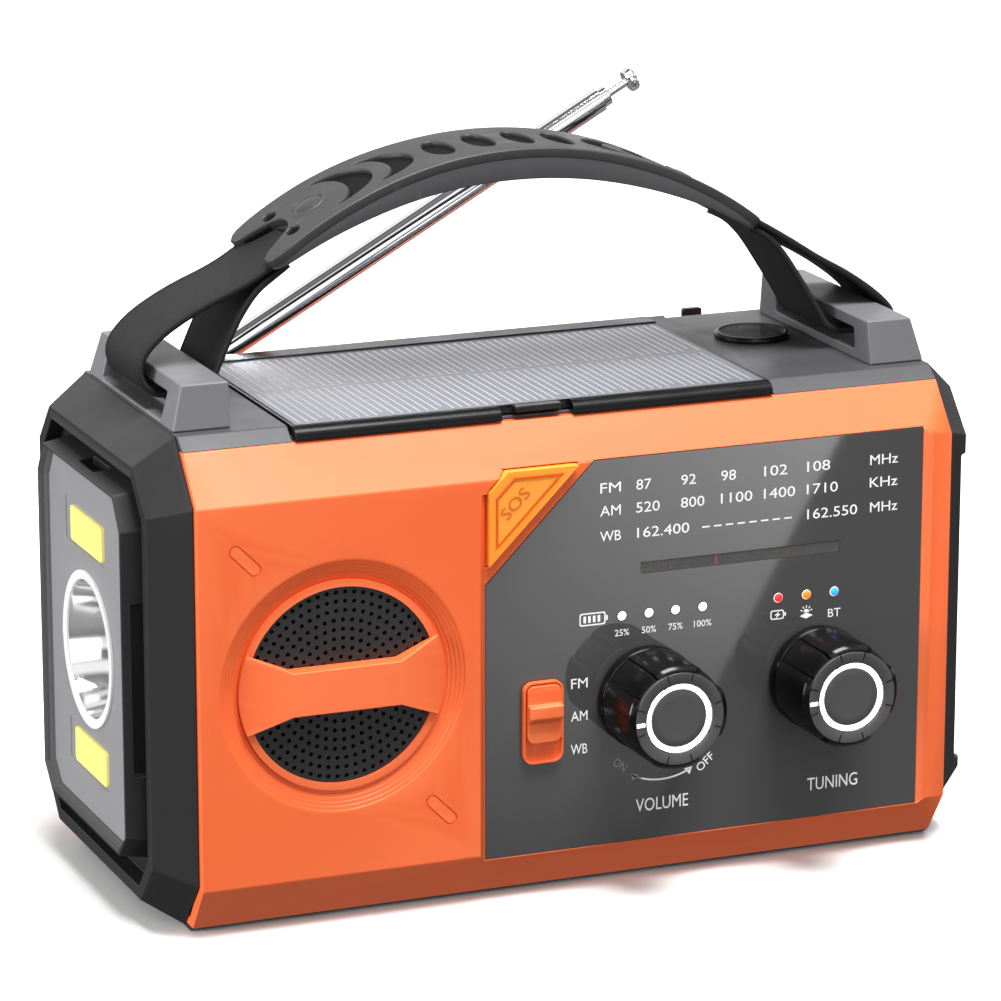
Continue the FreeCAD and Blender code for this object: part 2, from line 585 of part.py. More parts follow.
def sos_button():
    cap = slab("sos_cap", "xz", sos_outline("0"), "-half_depth - 0.6", "-43.6")
    ring = slab("sos_ring", "xz", sos_outline("-1.2"), "-44", "-42.6")
    below = block("sos_ring_limit", ("-30", "5"), ("-45", "-42"), ("75", "101.2"))
    flange = common("sos_flange", ring, below)
    recess = slab("sos_recess", "xz", sos_outline("1.5"), "-half_depth - 1", "-half_depth - 0.1")
    panel = slab("sos_field", "xz", sos_outline("2.1"), "-half_depth - 0.5", "-half_depth")
    node("sos_button", fuse("sos_button", cut("sos_sunk", cap, recess), flange, panel))


def knob(label, x):
    """A knob with a notched front ring, a light ring and a turning spindle."""
    segments = 12
    body = turned(f"{label}_body", "y", (x, "knob_z"), [
        ("0", "-knob_back_y"), ("knob_radius", "-knob_back_y"), ("knob_radius", "-knob_front_y + 1.4"),
        ("knob_radius - 0.2", "-knob_front_y + 1"), ("knob_radius - 1.3", "-knob_front_y"),
        ("8.4", "-knob_front_y"), ("8.4", "-knob_front_y + 0.9"), ("7.1", "-knob_front_y + 0.9"),
        ("7.1", "-knob_front_y + 0.3"), ("0", "-knob_front_y + 0.3")])
    notches = []
    for i in range(segments):
        notch = doc.addObject("Part::Box", f"{label}_notch_{i}")
        notch.Length, notch.Width, notch.Height = 3.2, 1.8, 0.4
        turn = Rotation(AXES["y"], 360 / segments * (i + 0.5))
        start = turn.multVec(Vector(9.9, 0, -0.2))
        notch.Placement = Placement(Vector(number(x), -number("knob_front_y") - 0.6, number("knob_z"))
                                    + start, turn)
        notches.append(notch)
    bore = rod(f"{label}_bore", "y", (x, "knob_z"), "spindle + 0.05", "-60", "-knob_back_y + 1")
    return node(label, cut(label, body, bore, *notches))


def controls():
    knob("volume_knob", "volume_x")
    knob("tuning_knob", "tuning_x")
    for label, x, back in (("volume_spindle", "volume_x", "-34"), ("tuning_spindle", "tuning_x", "-34")):
        node(label, rod(label, "y", (x, "knob_z"), "spindle", "-59.9", back))
    node("volume_control", turned("volume_control", "y", ("volume_x", "knob_z"), [
        ("spindle + 0.05", "-44.3"), ("8.5", "-44.3"), ("8.5", "-31.7"), ("3.6", "-31.7"),
        ("spindle + 0.05", "-33.4")]))
    case = block("capacitor_case", ("tuning_x - 10", "tuning_x + 10"), ("-44.3", "-31.7"),
                 ("knob_z - 10", "knob_z + 10"))
    node("tuning_capacitor", cut("tuning_capacitor", rounded("capacitor_round", case, "1", runs_along("y")),
                                 rod("capacitor_bore", "y", ("tuning_x", "knob_z"), "spindle + 0.05",
                                     "-45", "-33.4")))
    carriage = block("needle_carriage", ("needle_x - 5", "needle_x + 5"), ("-44.1", "-41.9"),
                     ("slot_low - 4", "slot_high + 2"))
    pointer = block("needle_pointer", ("needle_x - 0.5", "needle_x + 0.5"), ("-45", "-44"),
                    ("slot_low + 0.4", "slot_high - 0.4"))
    bore = rod("needle_bore", "x", ("-43", "slot_low - 2.2"), "0.8", "needle_x - 6", "needle_x + 6")
    node("tuning_needle", cut("tuning_needle", fuse("needle_blank", carriage, pointer), bore))
    rail = rod("rail_bar", "x", ("-43", "slot_low - 2.2"), "0.75", "slot_left - 7", "slot_right + 7")
    ends = [block(f"rail_end_{name}", span, ("-half_depth + wall + 0.05", "-41.8"),
                  ("slot_low - 4", "slot_low - 0.4"))
            for name, span in (("left", ("slot_left - 9", "slot_left - 6")),
                               ("right", ("slot_right + 6", "slot_right + 9")))]
    node("needle_rail", fuse("needle_rail", rail, *ends))


# ---- speaker and electronics ------------------------------------------------------------------------

def speaker():
    """Perforated grille with rings of holes, then the driver's frame and cone."""
    radius, pitch, hole = number("mouth + 0.7"), number("grille_pitch"), number("grille_hole")
    centre = Vector(number("speaker_x"), -number("grille_y") + 0.05, number("speaker_z"))
    disc = Part.Face(Part.Wire(Part.makeCircle(radius, centre, AXES["y"])))
    holes = []
    for ring in range(2, int(number("mouth - 0.6") / pitch) + 1):
        count = int(math.tau * ring)
        for i in range(count):
            angle = math.tau * (i + 0.5 * (ring % 2)) / count
            spot = centre + Vector(math.cos(angle), 0, math.sin(angle)) * ring * pitch
            holes.append(Part.Wire(Part.makeCircle(hole, spot, AXES["y"])))
    perforated = Part.Face([disc.OuterWire, *holes])
    perforated.validate()
    node("speaker_grille", made("speaker_grille", perforated.extrude(Vector(0, 0.6, 0))))
    node("speaker_frame", turned("speaker_frame", "y", ("speaker_x", "speaker_z"), [
        ("22.8", "-44.85"), ("24", "-44.85"), ("24", "-42.95"), ("28.5", "-42.95"), ("28.5", "-41.7"),
        ("25", "-41.7"), ("14.5", "-30"), ("14.5", "-19"), ("0", "-19"), ("0", "-29"), ("12.5", "-29"),
        ("22.8", "-41.5")]))
    node("speaker_cone", turned("speaker_cone", "y", ("speaker_x", "speaker_z"), [
        ("0", "-34"), ("6.5", "-32.4"), ("19.5", "-42"), ("21", "-42.8"), ("22.7", "-42.7"),
        ("22.7", "-42.3"), ("21", "-42.4"), ("19.5", "-41.4"), ("6.5", "-31.4"), ("0", "-33")]))


def electronics():
    node("main_board", block("main_board", ("-22", "78"), ("-31.6", "-30"), ("14", "98")))
    cells = [rod(f"cell_{i}", "x", ("-18", z), "9.1", "-28", "38") for i, z in enumerate((17, 36))]
    node("battery_cells", group("battery_cells", *cells))
    sockets = block("socket_blank", ("socket_x - 12.8", "socket_x + 12.8"), ("32", "45.8"),
                    ("socket_z - 5.8", "socket_z + 5.8"))
    usb = block("usb_opening", ("socket_x - 9.6", "socket_x - 0.4"), ("36", "47"),
                ("socket_z - 1.6", "socket_z + 1.6"))
    jack = rod("jack_opening", "y", ("socket_x + 7.2", "socket_z"), "1.8", "34", "47")
    node("socket_block", cut("socket_block", sockets, rounded("usb_round", usb, "1.5", runs_along("y")),
                             jack))
    node("reading_lamp", fuse("reading_lamp",
                              block("lamp_board", ("-42", "26"), ("-14", "14"), ("112.4", "114")),
                              block("lamp_diffuser", ("-38", "22"), ("-10", "10"), ("114", "114.7"))))


# ---- top --------------------------------------------------------------------------------------------

def solar_lid():
    """The lid is a plate with a rounded front lip, a finger tab and a hinge barrel."""
    plate = slab("lid_blank", "yz",
                 [("-lid_front", "lid_top"), ("-lid_front", "114.35"), ("-37.2", "114.35"),
                  ("-37.2", "115.2"), ("lid_back", "115.2"), ("lid_back", "lid_top")],
                 "lid_left", "lid_right")

    def front_top(edge):
        middle = edge.CenterOfMass
        return (runs_along("x")(edge) and middle.z > number("lid_top") - 0.1
                and middle.y < -number("lid_front") + 0.1)
    lipped = rounded("lid_lipped", plate, "2.8", front_top)
    notched = cut("lid_notched", lipped,
                  block("lid_notch", ("tab_x - 9.3", "tab_x + 8.6"), ("-lid_front - 1", "-36.2"),
                        ("110", "lid_top + 1")),
                  block("cell_seat", ("lid_left + 0.9", "lid_right - 0.9"), ("-35.9", "lid_back - 0.9"),
                        ("lid_top - 0.8", "lid_top + 1")),
                  block("lid_hollow", ("lid_left + 2", "lid_right - 2"), ("-34", "lid_back - 2"),
                        ("115", "115.6")))
    tab = block("lid_tab", ("tab_x - 5.8", "tab_x + 5.8"), ("-38.6", "-36"), ("lid_top - 1.5", "lid_top"))
    barrel = rod("lid_barrel", "x", ("hinge_y", "hinge_z"), "barrel", "lid_left", "lid_right")
    web = block("lid_web", ("lid_left", "lid_right"), ("lid_back - 0.2", "hinge_y"),
                ("115.5", "hinge_z + 0.6"))
    whole = fuse("lid_whole", notched, tab, barrel, web)
    node("solar_lid", cut("solar_lid", whole, rod("lid_bore", "x", ("hinge_y", "hinge_z"),
                                                  "hinge_pin + 0.05", "lid_left - 1", "lid_right + 1")))
    node("solar_cell", block("solar_cell", ("lid_left + 1", "lid_right - 1"), ("-35.8", "lid_back - 1"),
                             ("lid_top - 0.75", "lid_top + 0.1")))
    node("lid_hinge_pin", rod("lid_hinge_pin", "x", ("hinge_y", "hinge_z"), "hinge_pin",
                              "lid_left - 4.4", "lid_right + 4.4"))


def compass():
    centre = ("compass_x", "compass_y")
    node("compass_cup", turned("compass_cup", "z", centre, [
        ("0", "110.4"), ("compass_radius - 0.8", "110.4"), ("compass_radius - 0.8", "cover_z + 0.05"),
        ("compass_radius", "cover_z + 0.05"), ("compass_radius", "118"), ("compass_radius - 0.5", "118.5"),
        ("compass_radius - 1.2", "118.5"), ("compass_radius - 1.2", "117.9"),
        ("compass_radius - 1.7", "117.9"), ("compass_radius - 1.7", "111.4"), ("0.4", "111.4"),
        ("0.3", "114.3"), ("0", "114.3")]))
    node("compass_card", turned("compass_card", "z", centre, [
        ("0", "114.7"), ("0.7", "114.7"), ("0.7", "113.8"), ("compass_radius - 2.4", "113.8"),
        ("compass_radius - 2.4", "114.3"), ("1.2", "114.5"), ("1", "115.4"), ("0", "115.4")]))
    node("compass_lens", turned("compass_lens", "z", centre, [
        ("0", "119"), ("4.4", "118.8"), ("compass_radius - 1.3", "118.3"),
        ("compass_radius - 1.3", "117.95"), ("compass_radius - 1.8", "117.95"), ("0", "118.2")]))


# ---- handle -----------------------------------------------------------------------------------------

def strap_anchor(label, sign):
    """A hollow bridge whose top bar the strap goes round."""
    def plan(name, inner, outer, y, z):
        low, high = side(sign, inner, outer)
        sketch = outline(name, "xy", [(low, f"-({y})"), (high, f"-({y})"), (high, y), (low, y)])
        bind(sketch, "Placement.Base.z", z)
        return sketch
    loft = doc.addObject("Part::Loft", f"{label}_loft")
    loft.Sections = [plan(f"{label}_base", "anchor_in", "anchor_out", "anchor_y", "cover_z + 0.05"),
                     plan(f"{label}_top", "anchor_top_in", "anchor_top_out", "anchor_top_y", "anchor_top")]
    loft.Solid = True
    loft.Ruled = True
    slot = block(f"{label}_slot", side(sign, "70", "100"), ("-slot_half", "slot_half"),
                 ("slot_floor", "slot_roof"))
    lead = block(f"{label}_lead", side(sign, "anchor_top_out - 3", "100"), ("-slot_half", "slot_half"),
                 ("cover_z + 1", "slot_roof"))

    node(label, cut(label, loft, slot, lead))


STRAPS = {
    "left_strap": [(-56, 153.5), (-62.5, 149.6), (-70, 144.9), (-81.6, 140.4), (-91.8, 134.4),
                   (-96.6, 128), (-93.9, 121.4), (-86.4, 121.2), (-79, 121.6), (-76.6, 127.6),
                   (-72.4, 136.6), (-67.6, 143.6), (-62.6, 147), (-59.5, 149.2)],
    "right_strap": [(54, 153), (60.5, 149.4), (69, 144.2), (76, 139.6), (82.3, 136.2), (88.6, 132),
                    (93.6, 127.9), (96.2, 124.6), (94.5, 121.3), (86.4, 121.2), (79, 121.6), (76, 127),
                    (71.2, 134.6), (65.8, 142.8), (61, 147.2), (57.5, 148.5)]}


def strap(label):
    """Webbing that leaves the grip, goes round the anchor's bar and comes back."""
    points = [Vector(x, 0, z) for x, z in STRAPS[label]]
    edges, last = [], points[0]
    for before, corner, after in zip(points, points[1:], points[2:]):
        inward, outward = before - corner, after - corner
        turn = math.pi - inward.getAngle(outward)
        reach = 0.45 * min(inward.Length, outward.Length)
        inward.normalize()
        outward.normalize()
        start, end = corner + inward * reach, corner + outward * reach
        bisector = (inward + outward).normalize()
        radius = reach / math.tan(turn / 2)
        apex = corner + bisector * (radius / math.cos(turn / 2) - radius)
        edges.append(Part.LineSegment(last, start).toShape())
        edges.append(Part.Arc(start, apex, end).toShape())
        last = end
    edges.append(Part.LineSegment(last, points[-1]).toShape())
    band = Part.Wire(edges).makeOffset2D(number("strap_thick / 2"), 0, True, False)
    half = number("strap_half")
    webbing = band.extrude(Vector(0, 2 * half, 0))
    webbing.translate(Vector(0, -half, 0))
    node(label, made(label, webbing))


def handle():
    strap_anchor("left_anchor", -1)
    strap_anchor("right_anchor", 1)
    strap("left_strap")
    strap("right_strap")
    span = math.radians(number("grip_span"))
    outer, thick = number("grip_radius"), number("grip_thick")
    middle = Vector(number("grip_x"), 0, number("grip_apex") - outer)
    taper = Vector(0, 0, -20)
    half = number("grip_half")
    body = arch(middle, outer - 0.5, middle + taper, outer - thick - taper.z, span, half)
    plate = arch(middle, outer, middle, outer - 1.3, span, half + 0.4)
    tools = []
    for sign in (-1, 1):
        tools += [radial_cutter(middle, outer, sign * degrees, (2.6, 6.4), 2.2) for degrees in (3, 9)]
        tools += [radial_cutter(middle, outer, sign * 33, (1.3, 1.5), 2, y) for y in (-6.2, 6.2)]
        tools.append(radial_cutter(middle, outer, sign * 28.6, (3.6, 3.6), 1.8))
        tools.append(radial_cutter(middle, outer, sign * 40, (5.4, 5.2), thick + 2))
        for degrees, reach in ((20.6, 5.2), (13.8, 4.6)):
            disc = radial_cutter(middle, outer, sign * degrees, (reach, 8.6), 3.4)
            bite = radial_cutter(middle, outer, sign * (degrees + 3.2), (reach + 1, 9.4), 5)
            tools.append(disc.cut(bite))
    node("handle_grip", made("handle_grip", body.fuse(plate).cut(tools).removeSplitter()))
    rivets = []
    for sign in (-1, 1):
        dome = Part.makeSphere(6, Vector(0, 0, outer - 6.1))
        rivet = Part.makeCylinder(3.3, 1.2, Vector(0, 0, outer - 0.8)).common(dome)
        rivet.rotate(Vector(), AXES["y"], sign * 28.6)
        rivet.translate(middle)
        rivets.append(made("rivet", rivet))
    node("grip_rivets", group("grip_rivets", *rivets))


def arch(outer_middle, outer, inner_middle, inner, span, half):
    """A curved bar between two arcs about two centres, half wide to each side."""
    corners = []
    reach = outer * math.sin(span)
    for middle, radius in ((outer_middle, outer), (inner_middle, inner)):
        end = math.sqrt(radius ** 2 - reach ** 2)
        corners.append([middle + Vector(-reach, 0, end), middle + Vector(0, 0, radius),
                        middle + Vector(reach, 0, end)])
    above, below = corners
    loop = Part.Wire([Part.Arc(*above).toShape(), Part.makeLine(above[2], below[2]),
                      Part.Arc(*below[::-1]).toShape(), Part.makeLine(below[0], above[0])])
    bar = Part.Face(loop).extrude(Vector(0, 2 * half, 0))
    bar.translate(Vector(0, -half, 0))
    return bar


def radial_cutter(middle, outer, degrees, size, depth, y=0):
    """An oval plug that enters the grip's top face square on; size is its half width along X and Y."""
    plug = Part.makeCylinder(1, depth)
    stretch = FreeCAD.Matrix()
    stretch.scale(size[0], size[1], 1)
    plug = plug.transformGeometry(stretch) if size[0] != size[1] else Part.makeCylinder(size[0], depth)
    plug.translate(Vector(0, y, outer - depth + 1))
    plug.rotate(Vector(), AXES["y"], degrees)
    plug.translate(middle)
    return plug


# ---- antenna ----------------------------------------------------------------------------------------

def antenna():
    """Built lying along +X from the pivot, then turned up to its rest angle about the pivot."""
    pivot = ("mast_x", "mast_z")
    plate = rod("antenna_plate", "y", pivot, "3.5", "ledge_y + 0.05", "ledge_y + 1")
    stud = rod("antenna_stud", "y", pivot, "1.4", "ledge_y + 0.5", "46.4")
    head = rod("antenna_head", "y", pivot, "2.6", "45.3", "46.5")
    rest_floor = block("rest_floor", ("66.4", "71.4"), ("ledge_y + 0.1", "47"), ("ledge_z + 0.05", "102.35"))
    rest_ear = block("rest_ear", ("66.4", "71.4"), ("45.6", "47"), ("ledge_z + 0.05", "116"))
    rest = rounded("antenna_rest", fuse("rest_blank", rest_floor, rest_ear), "0.6",
                   lambda e: runs_along("y")(e) and e.CenterOfMass.z > 115)
    node("antenna_mounts", group("antenna_mounts", fuse("antenna_base", plate, stud, head), rest))
    pose = Placement(Vector(number("mast_x"), number("mast_y"), number("mast_z")),
                     Rotation(AXES["y"], -number("mast_angle")))
    tilt_x, ear, tongue = "9", "2.9", "1"
    hub = rod("swivel_hub", "y", ("0", "0"), "3.4", "-2.3", "3.1")
    neck = block("swivel_neck", ("1", "5.5"), ("-2.3", "2.3"), (f"-{ear}", ear))
    ears = [rod(f"swivel_ear_{name}", "z", (tilt_x, "0"), "2.6", low, high)
            for name, low, high in (("low", f"-{ear}", f"-{tongue} - gap"),
                                    ("high", f"{tongue} + gap", ear))]
    webs = [block(f"swivel_web_{name}", ("5", tilt_x), ("-2.3", "2.3"), (low, high))
            for name, low, high in (("low", f"-{ear}", f"-{tongue} - gap"),
                                    ("high", f"{tongue} + gap", ear))]
    pin = rod("tilt_pin", "z", (tilt_x, "0"), "0.8", f"-{ear}", ear)
    swivel = cut("antenna_swivel", fuse("swivel_blank", hub, neck, pin, *ears, *webs),
                 rod("swivel_bore", "y", ("0", "0"), "1.45", "-5", "5"))
    root = fuse("mast_root", rod("mast_tongue", "z", (tilt_x, "0"), "2.5", f"-{tongue}", tongue),
                block("mast_shank", (tilt_x, "15"), ("-2.2", "2.2"), (f"-{tongue}", tongue)),
                rod("mast_collar", "x", ("0", "0"), "mast_radius", "12.6", "17"))
    tube = cut("mast_tube", rod("mast_tube_blank", "x", ("0", "0"), "mast_radius", "16.5", "mast_end"),
               rod("mast_tube_bore", "x", ("0", "0"), "mast_radius - 0.45", "17", "mast_end + 1"))
    mast = cut("antenna_mast", fuse("mast_blank", root, tube),
               rod("mast_pin_bore", "z", (tilt_x, "0"), "0.85", "-4", "4"))
    middle_tube = cut("antenna_middle_tube",
                      rod("middle_blank", "x", ("0", "0"), "mast_radius - 0.5", "19", "mast_end + 2.2"),
                      rod("middle_bore", "x", ("0", "0"), "1.9", "20", "mast_end - 3"),
                      rod("middle_mouth", "x", ("0", "0"), "1.05", "18", "mast_end + 3"))
    tip = turned("tip_rod", "x", ("0", "0"), [
        ("0", "22"), ("1.85", "22"), ("1.85", "30"), ("1", "30"), ("1", "mast_end + 8.2"),
        ("2.7", "mast_end + 8.2"), ("3.05", "mast_end + 8.6"), ("3.05", "mast_end + 9.9"),
        ("2.6", "mast_end + 10.4"), ("0", "mast_end + 10.7")])
    for label, thing in (("antenna_swivel", swivel), ("antenna_mast", mast),
                         ("antenna_middle_tube", middle_tube)):
        thing.Placement = pose
        node(label, thing)
    placed_tip = group("antenna_tip", tip)
    placed_tip.Placement = pose
    node("antenna_tip", placed_tip)


# ---- crank ------------------------------------------------------------------------------------------

def gear(teeth, thickness, phase):
    """A spur gear of module 1 about the Y axis; phase turns it, in degrees from +X towards +Z."""
    root, tip = teeth / 2 - 1.2, teeth / 2 + 0.7
    points = []
    for i in range(teeth):
        for share, radius in ((-0.27, root), (-0.11, tip), (0.11, tip), (0.27, root)):
            angle = math.radians(phase) + math.tau * (i + share) / teeth
            points.append(Vector(radius * math.cos(angle), 0, radius * math.sin(angle)))
    return face_of(points).extrude(Vector(0, thickness, 0))


def crank():
    centre = ("crank_x", "crank_z")
    thickness = number("gear_high - gear_low")
    gear_centre = Vector(number("crank_x"), number("gear_low"), number("crank_z"))
    wheel = gear(int(number("gear_teeth")), thickness, -90)
    wheel = wheel.cut(Part.makeCylinder(number("crank_shaft") - 0.5, thickness + 2, Vector(0, -1, 0),
                                        AXES["y"]))
    wheel.translate(gear_centre)
    node("crank_gear", made("crank_gear", wheel))
    drop = Vector(0, 0, -number("gear_teeth + pinion_teeth") / 2)
    pinion = gear(int(number("pinion_teeth")), thickness, 90 + 180 / number("pinion_teeth"))
    pinion = pinion.fuse(Part.makeCylinder(1.2, 14, Vector(0, -12, 0), AXES["y"]))
    pinion.translate(gear_centre + drop)
    node("dynamo_pinion", made("dynamo_pinion", pinion))
    dynamo_z = "crank_z - (gear_teeth + pinion_teeth) / 2"
    node("dynamo", turned("dynamo", "y", ("crank_x", dynamo_z), [
        ("0", "-4"), ("12", "-4"), ("12", "20"), ("4", "20"), ("4", "22"), ("1.25", "22"),
        ("1.25", "11.9"), ("0", "11.9")]))

    half_width, floor, top = "7.4", "arm_back", "arm_front"
    end = "crank_x - crank_throw"
    hub = rod("arm_hub", "y", centre, "9", floor, top)
    beam = block("arm_beam", (end, "crank_x"), (floor, top),
                 (f"crank_z - {half_width}", f"crank_z + {half_width}"))
    nose = rod("arm_nose", "y", (end, "crank_z"), half_width, floor, top)
    slot = block("arm_slot", (f"{end} - 9", "crank_x - 12.5"), (f"{floor} - 1", f"{top} + 1"),
                 ("crank_z - 4.9", "crank_z + 4.9"))
    pin_bore = rod("arm_pin_bore", "z", (end, f"{floor} + 4"), "1.3", "crank_z - 9", "crank_z + 9")
    shaft = rod("arm_shaft", "y", centre, "crank_shaft", "28.6", "50")
    spigot = rod("arm_spigot", "y", centre, "crank_shaft - 0.55", "22", "30")
    node("crank_arm", fuse("crank_arm", cut("arm_cut", fuse("arm_blank", hub, beam, nose), slot, pin_bore),
                           shaft, spigot))
    knuckle = rod("knob_knuckle", "z", (end, f"{floor} + 4"), "2.9", "crank_z - 4.5", "crank_z + 4.5")
    pin = rod("knob_pin", "z", (end, f"{floor} + 4"), "1.25", "crank_z - 7.3", "crank_z + 7.3")
    post = rod("knob_post", "x", (f"{floor} + 4", "crank_z"), "1.9", end, f"{end} + 26.2")
    cap = rod("knob_cap", "x", (f"{floor} + 4", "crank_z"), "3", f"{end} + 25.2", f"{end} + 26.2")
    node("crank_knob_post", fuse("crank_knob_post", knuckle, pin, post, cap))
    node("crank_knob", turned("crank_knob", "x", (f"{floor} + 4", "crank_z"), [
        ("1.95", f"{end} + 3.4"), ("3.4", f"{end} + 3.4"), ("4", f"{end} + 5"),
        ("3.6", f"{end} + 14"), ("4", f"{end} + 23.4"), ("3.5", f"{end} + 24.9"),
        ("1.95", f"{end} + 24.9")]))


# ---- back trim and fasteners ------------------------------------------------------------------------

def back_trim():
    flap = block("flap_plate", ("socket_x - 15", "socket_x + 15"),
                 ("half_depth + 0.35", "half_depth + 2.1"), ("socket_z - 7", "socket_z + 8"))
    plug = block("flap_plug", ("socket_x - 12.6", "socket_x + 12.6"),
                 ("half_depth - 1.2", "half_depth + 0.5"), ("socket_z - 4.4", "socket_z + 5.2"))
    lip = block("flap_lip", ("socket_x - 4", "socket_x + 4"), ("half_depth + 0.4", "half_depth + 2.8"),
                ("socket_z + 8", "socket_z + 9.4"))
    line = ("half_depth + 1.4", "socket_z - 7.2")
    barrel = rod("flap_barrel", "x", line, "1", "socket_x - 15", "socket_x + 15")
    pin = rod("flap_pin", "x", line, "0.6", "socket_x - 17.3", "socket_x + 17.3")

    def upper_corner(edge):
        return runs_along("y")(edge) and edge.CenterOfMass.z > number("socket_z")
    node("socket_flap", fuse("socket_flap", rounded("flap_round", flap, "2", upper_corner), plug, lip,
                             barrel, pin))
    node("torch_button", turned("torch_button", "y", ("button_x", "button_z"), [
        ("0", "42.4"), ("button_radius + 1.2", "42.4"), ("button_radius + 1.2", "44.05"),
        ("button_radius", "44.05"), ("button_radius", "half_depth + 1"),
        ("button_radius - 0.8", "half_depth + 1.6"), ("0", "half_depth + 1.6")]))
    screws = []
    for i, (x, z) in enumerate((x, z) for x in ("-screw_x", "screw_x") for z in ("screw_low",
                                                                                "screw_high")):
        screws.append(turned(f"screw_{i}", "y", (x, z), [
            ("0", "-16"), ("1.2", "-16"), ("1.5", "-15"), ("1.5", "20.05"), ("3", "20.05"),
            ("3", "22"), ("2.4", "22.6"), ("0", "22.6")]))
    node("case_screws", group("case_screws", *screws))


def check_everything():
    doc.recompute()
    for thing in doc.Objects:
        bad = {"Invalid", "Error"} & set(thing.State)
        if bad:
            raise RuntimeError(f"{thing.Name} is {bad}")
    for thing in nodes:
        if thing.Shape.isNull() or not thing.Shape.isValid() or not thing.Shape.Solids:
            raise RuntimeError(f"{thing.Label} has no valid solid")


def main():
    for build in (front_shell, rear_shell, top_cover, base_plate, left_end_frame, lamp_module, right_end,
                  dial_panel, band_switch, sos_button, controls, speaker, electronics, solar_lid,
                  compass, handle, antenna, crank, back_trim):
        build()
    check_everything()
    os.makedirs("parts", exist_ok=True)
    for thing in nodes:
        thing.Shape.exportStep(f"parts/{thing.Label}.step")
    print(len(nodes), "nodes")


main()
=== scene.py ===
"""Emergency radio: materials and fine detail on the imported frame, in metres.

+X runs along the body, the dial side faces -Y and +Z is up. Sizes below are in millimetres and go
through mm(), because the radio's details are easier to read that way.
"""
import json
import math

import bmesh
import bpy
from mathutils import Matrix, Vector


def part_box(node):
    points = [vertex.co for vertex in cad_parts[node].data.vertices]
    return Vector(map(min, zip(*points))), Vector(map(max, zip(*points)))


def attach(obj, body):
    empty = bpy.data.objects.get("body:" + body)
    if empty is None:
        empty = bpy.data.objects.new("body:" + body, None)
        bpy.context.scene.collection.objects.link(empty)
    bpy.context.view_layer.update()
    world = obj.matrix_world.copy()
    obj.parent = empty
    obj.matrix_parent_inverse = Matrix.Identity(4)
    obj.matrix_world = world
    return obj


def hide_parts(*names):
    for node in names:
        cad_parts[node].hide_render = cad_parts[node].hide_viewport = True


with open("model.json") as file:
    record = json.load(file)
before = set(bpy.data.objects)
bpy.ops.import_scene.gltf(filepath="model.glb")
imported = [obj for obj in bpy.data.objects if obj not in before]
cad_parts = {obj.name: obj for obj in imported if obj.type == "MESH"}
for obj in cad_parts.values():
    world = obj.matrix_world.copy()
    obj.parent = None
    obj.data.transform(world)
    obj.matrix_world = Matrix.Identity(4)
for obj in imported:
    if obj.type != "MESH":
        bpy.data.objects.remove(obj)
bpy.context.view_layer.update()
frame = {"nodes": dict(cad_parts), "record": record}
NODES = frame["nodes"]
RECORD = frame["record"]
BODY_OF = {node: body for body, members in RECORD["behaviour"]["bodies"].items() for node in members}
SLOT_OF = {part["node"]: part["material_slot"] for part in RECORD["subparts"]}

MM = 0.001
FACING_FRONT = Matrix.Rotation(math.pi / 2, 4, "X")      # XY drawings stand up and face -Y


def mm(*values):
    """A vector, or one number, given in millimetres."""
    return Vector(values) * MM if len(values) > 1 else values[0] * MM


def srgb(red, green, blue):
    """A linear colour from 8-bit screen values."""
    def linear(value):
        share = value / 255
        return share / 12.92 if share <= 0.04045 else ((share + 0.055) / 1.055) ** 2.4
    return (linear(red), linear(green), linear(blue), 1.0)


# ---- materials --------------------------------------------------------------------------------------

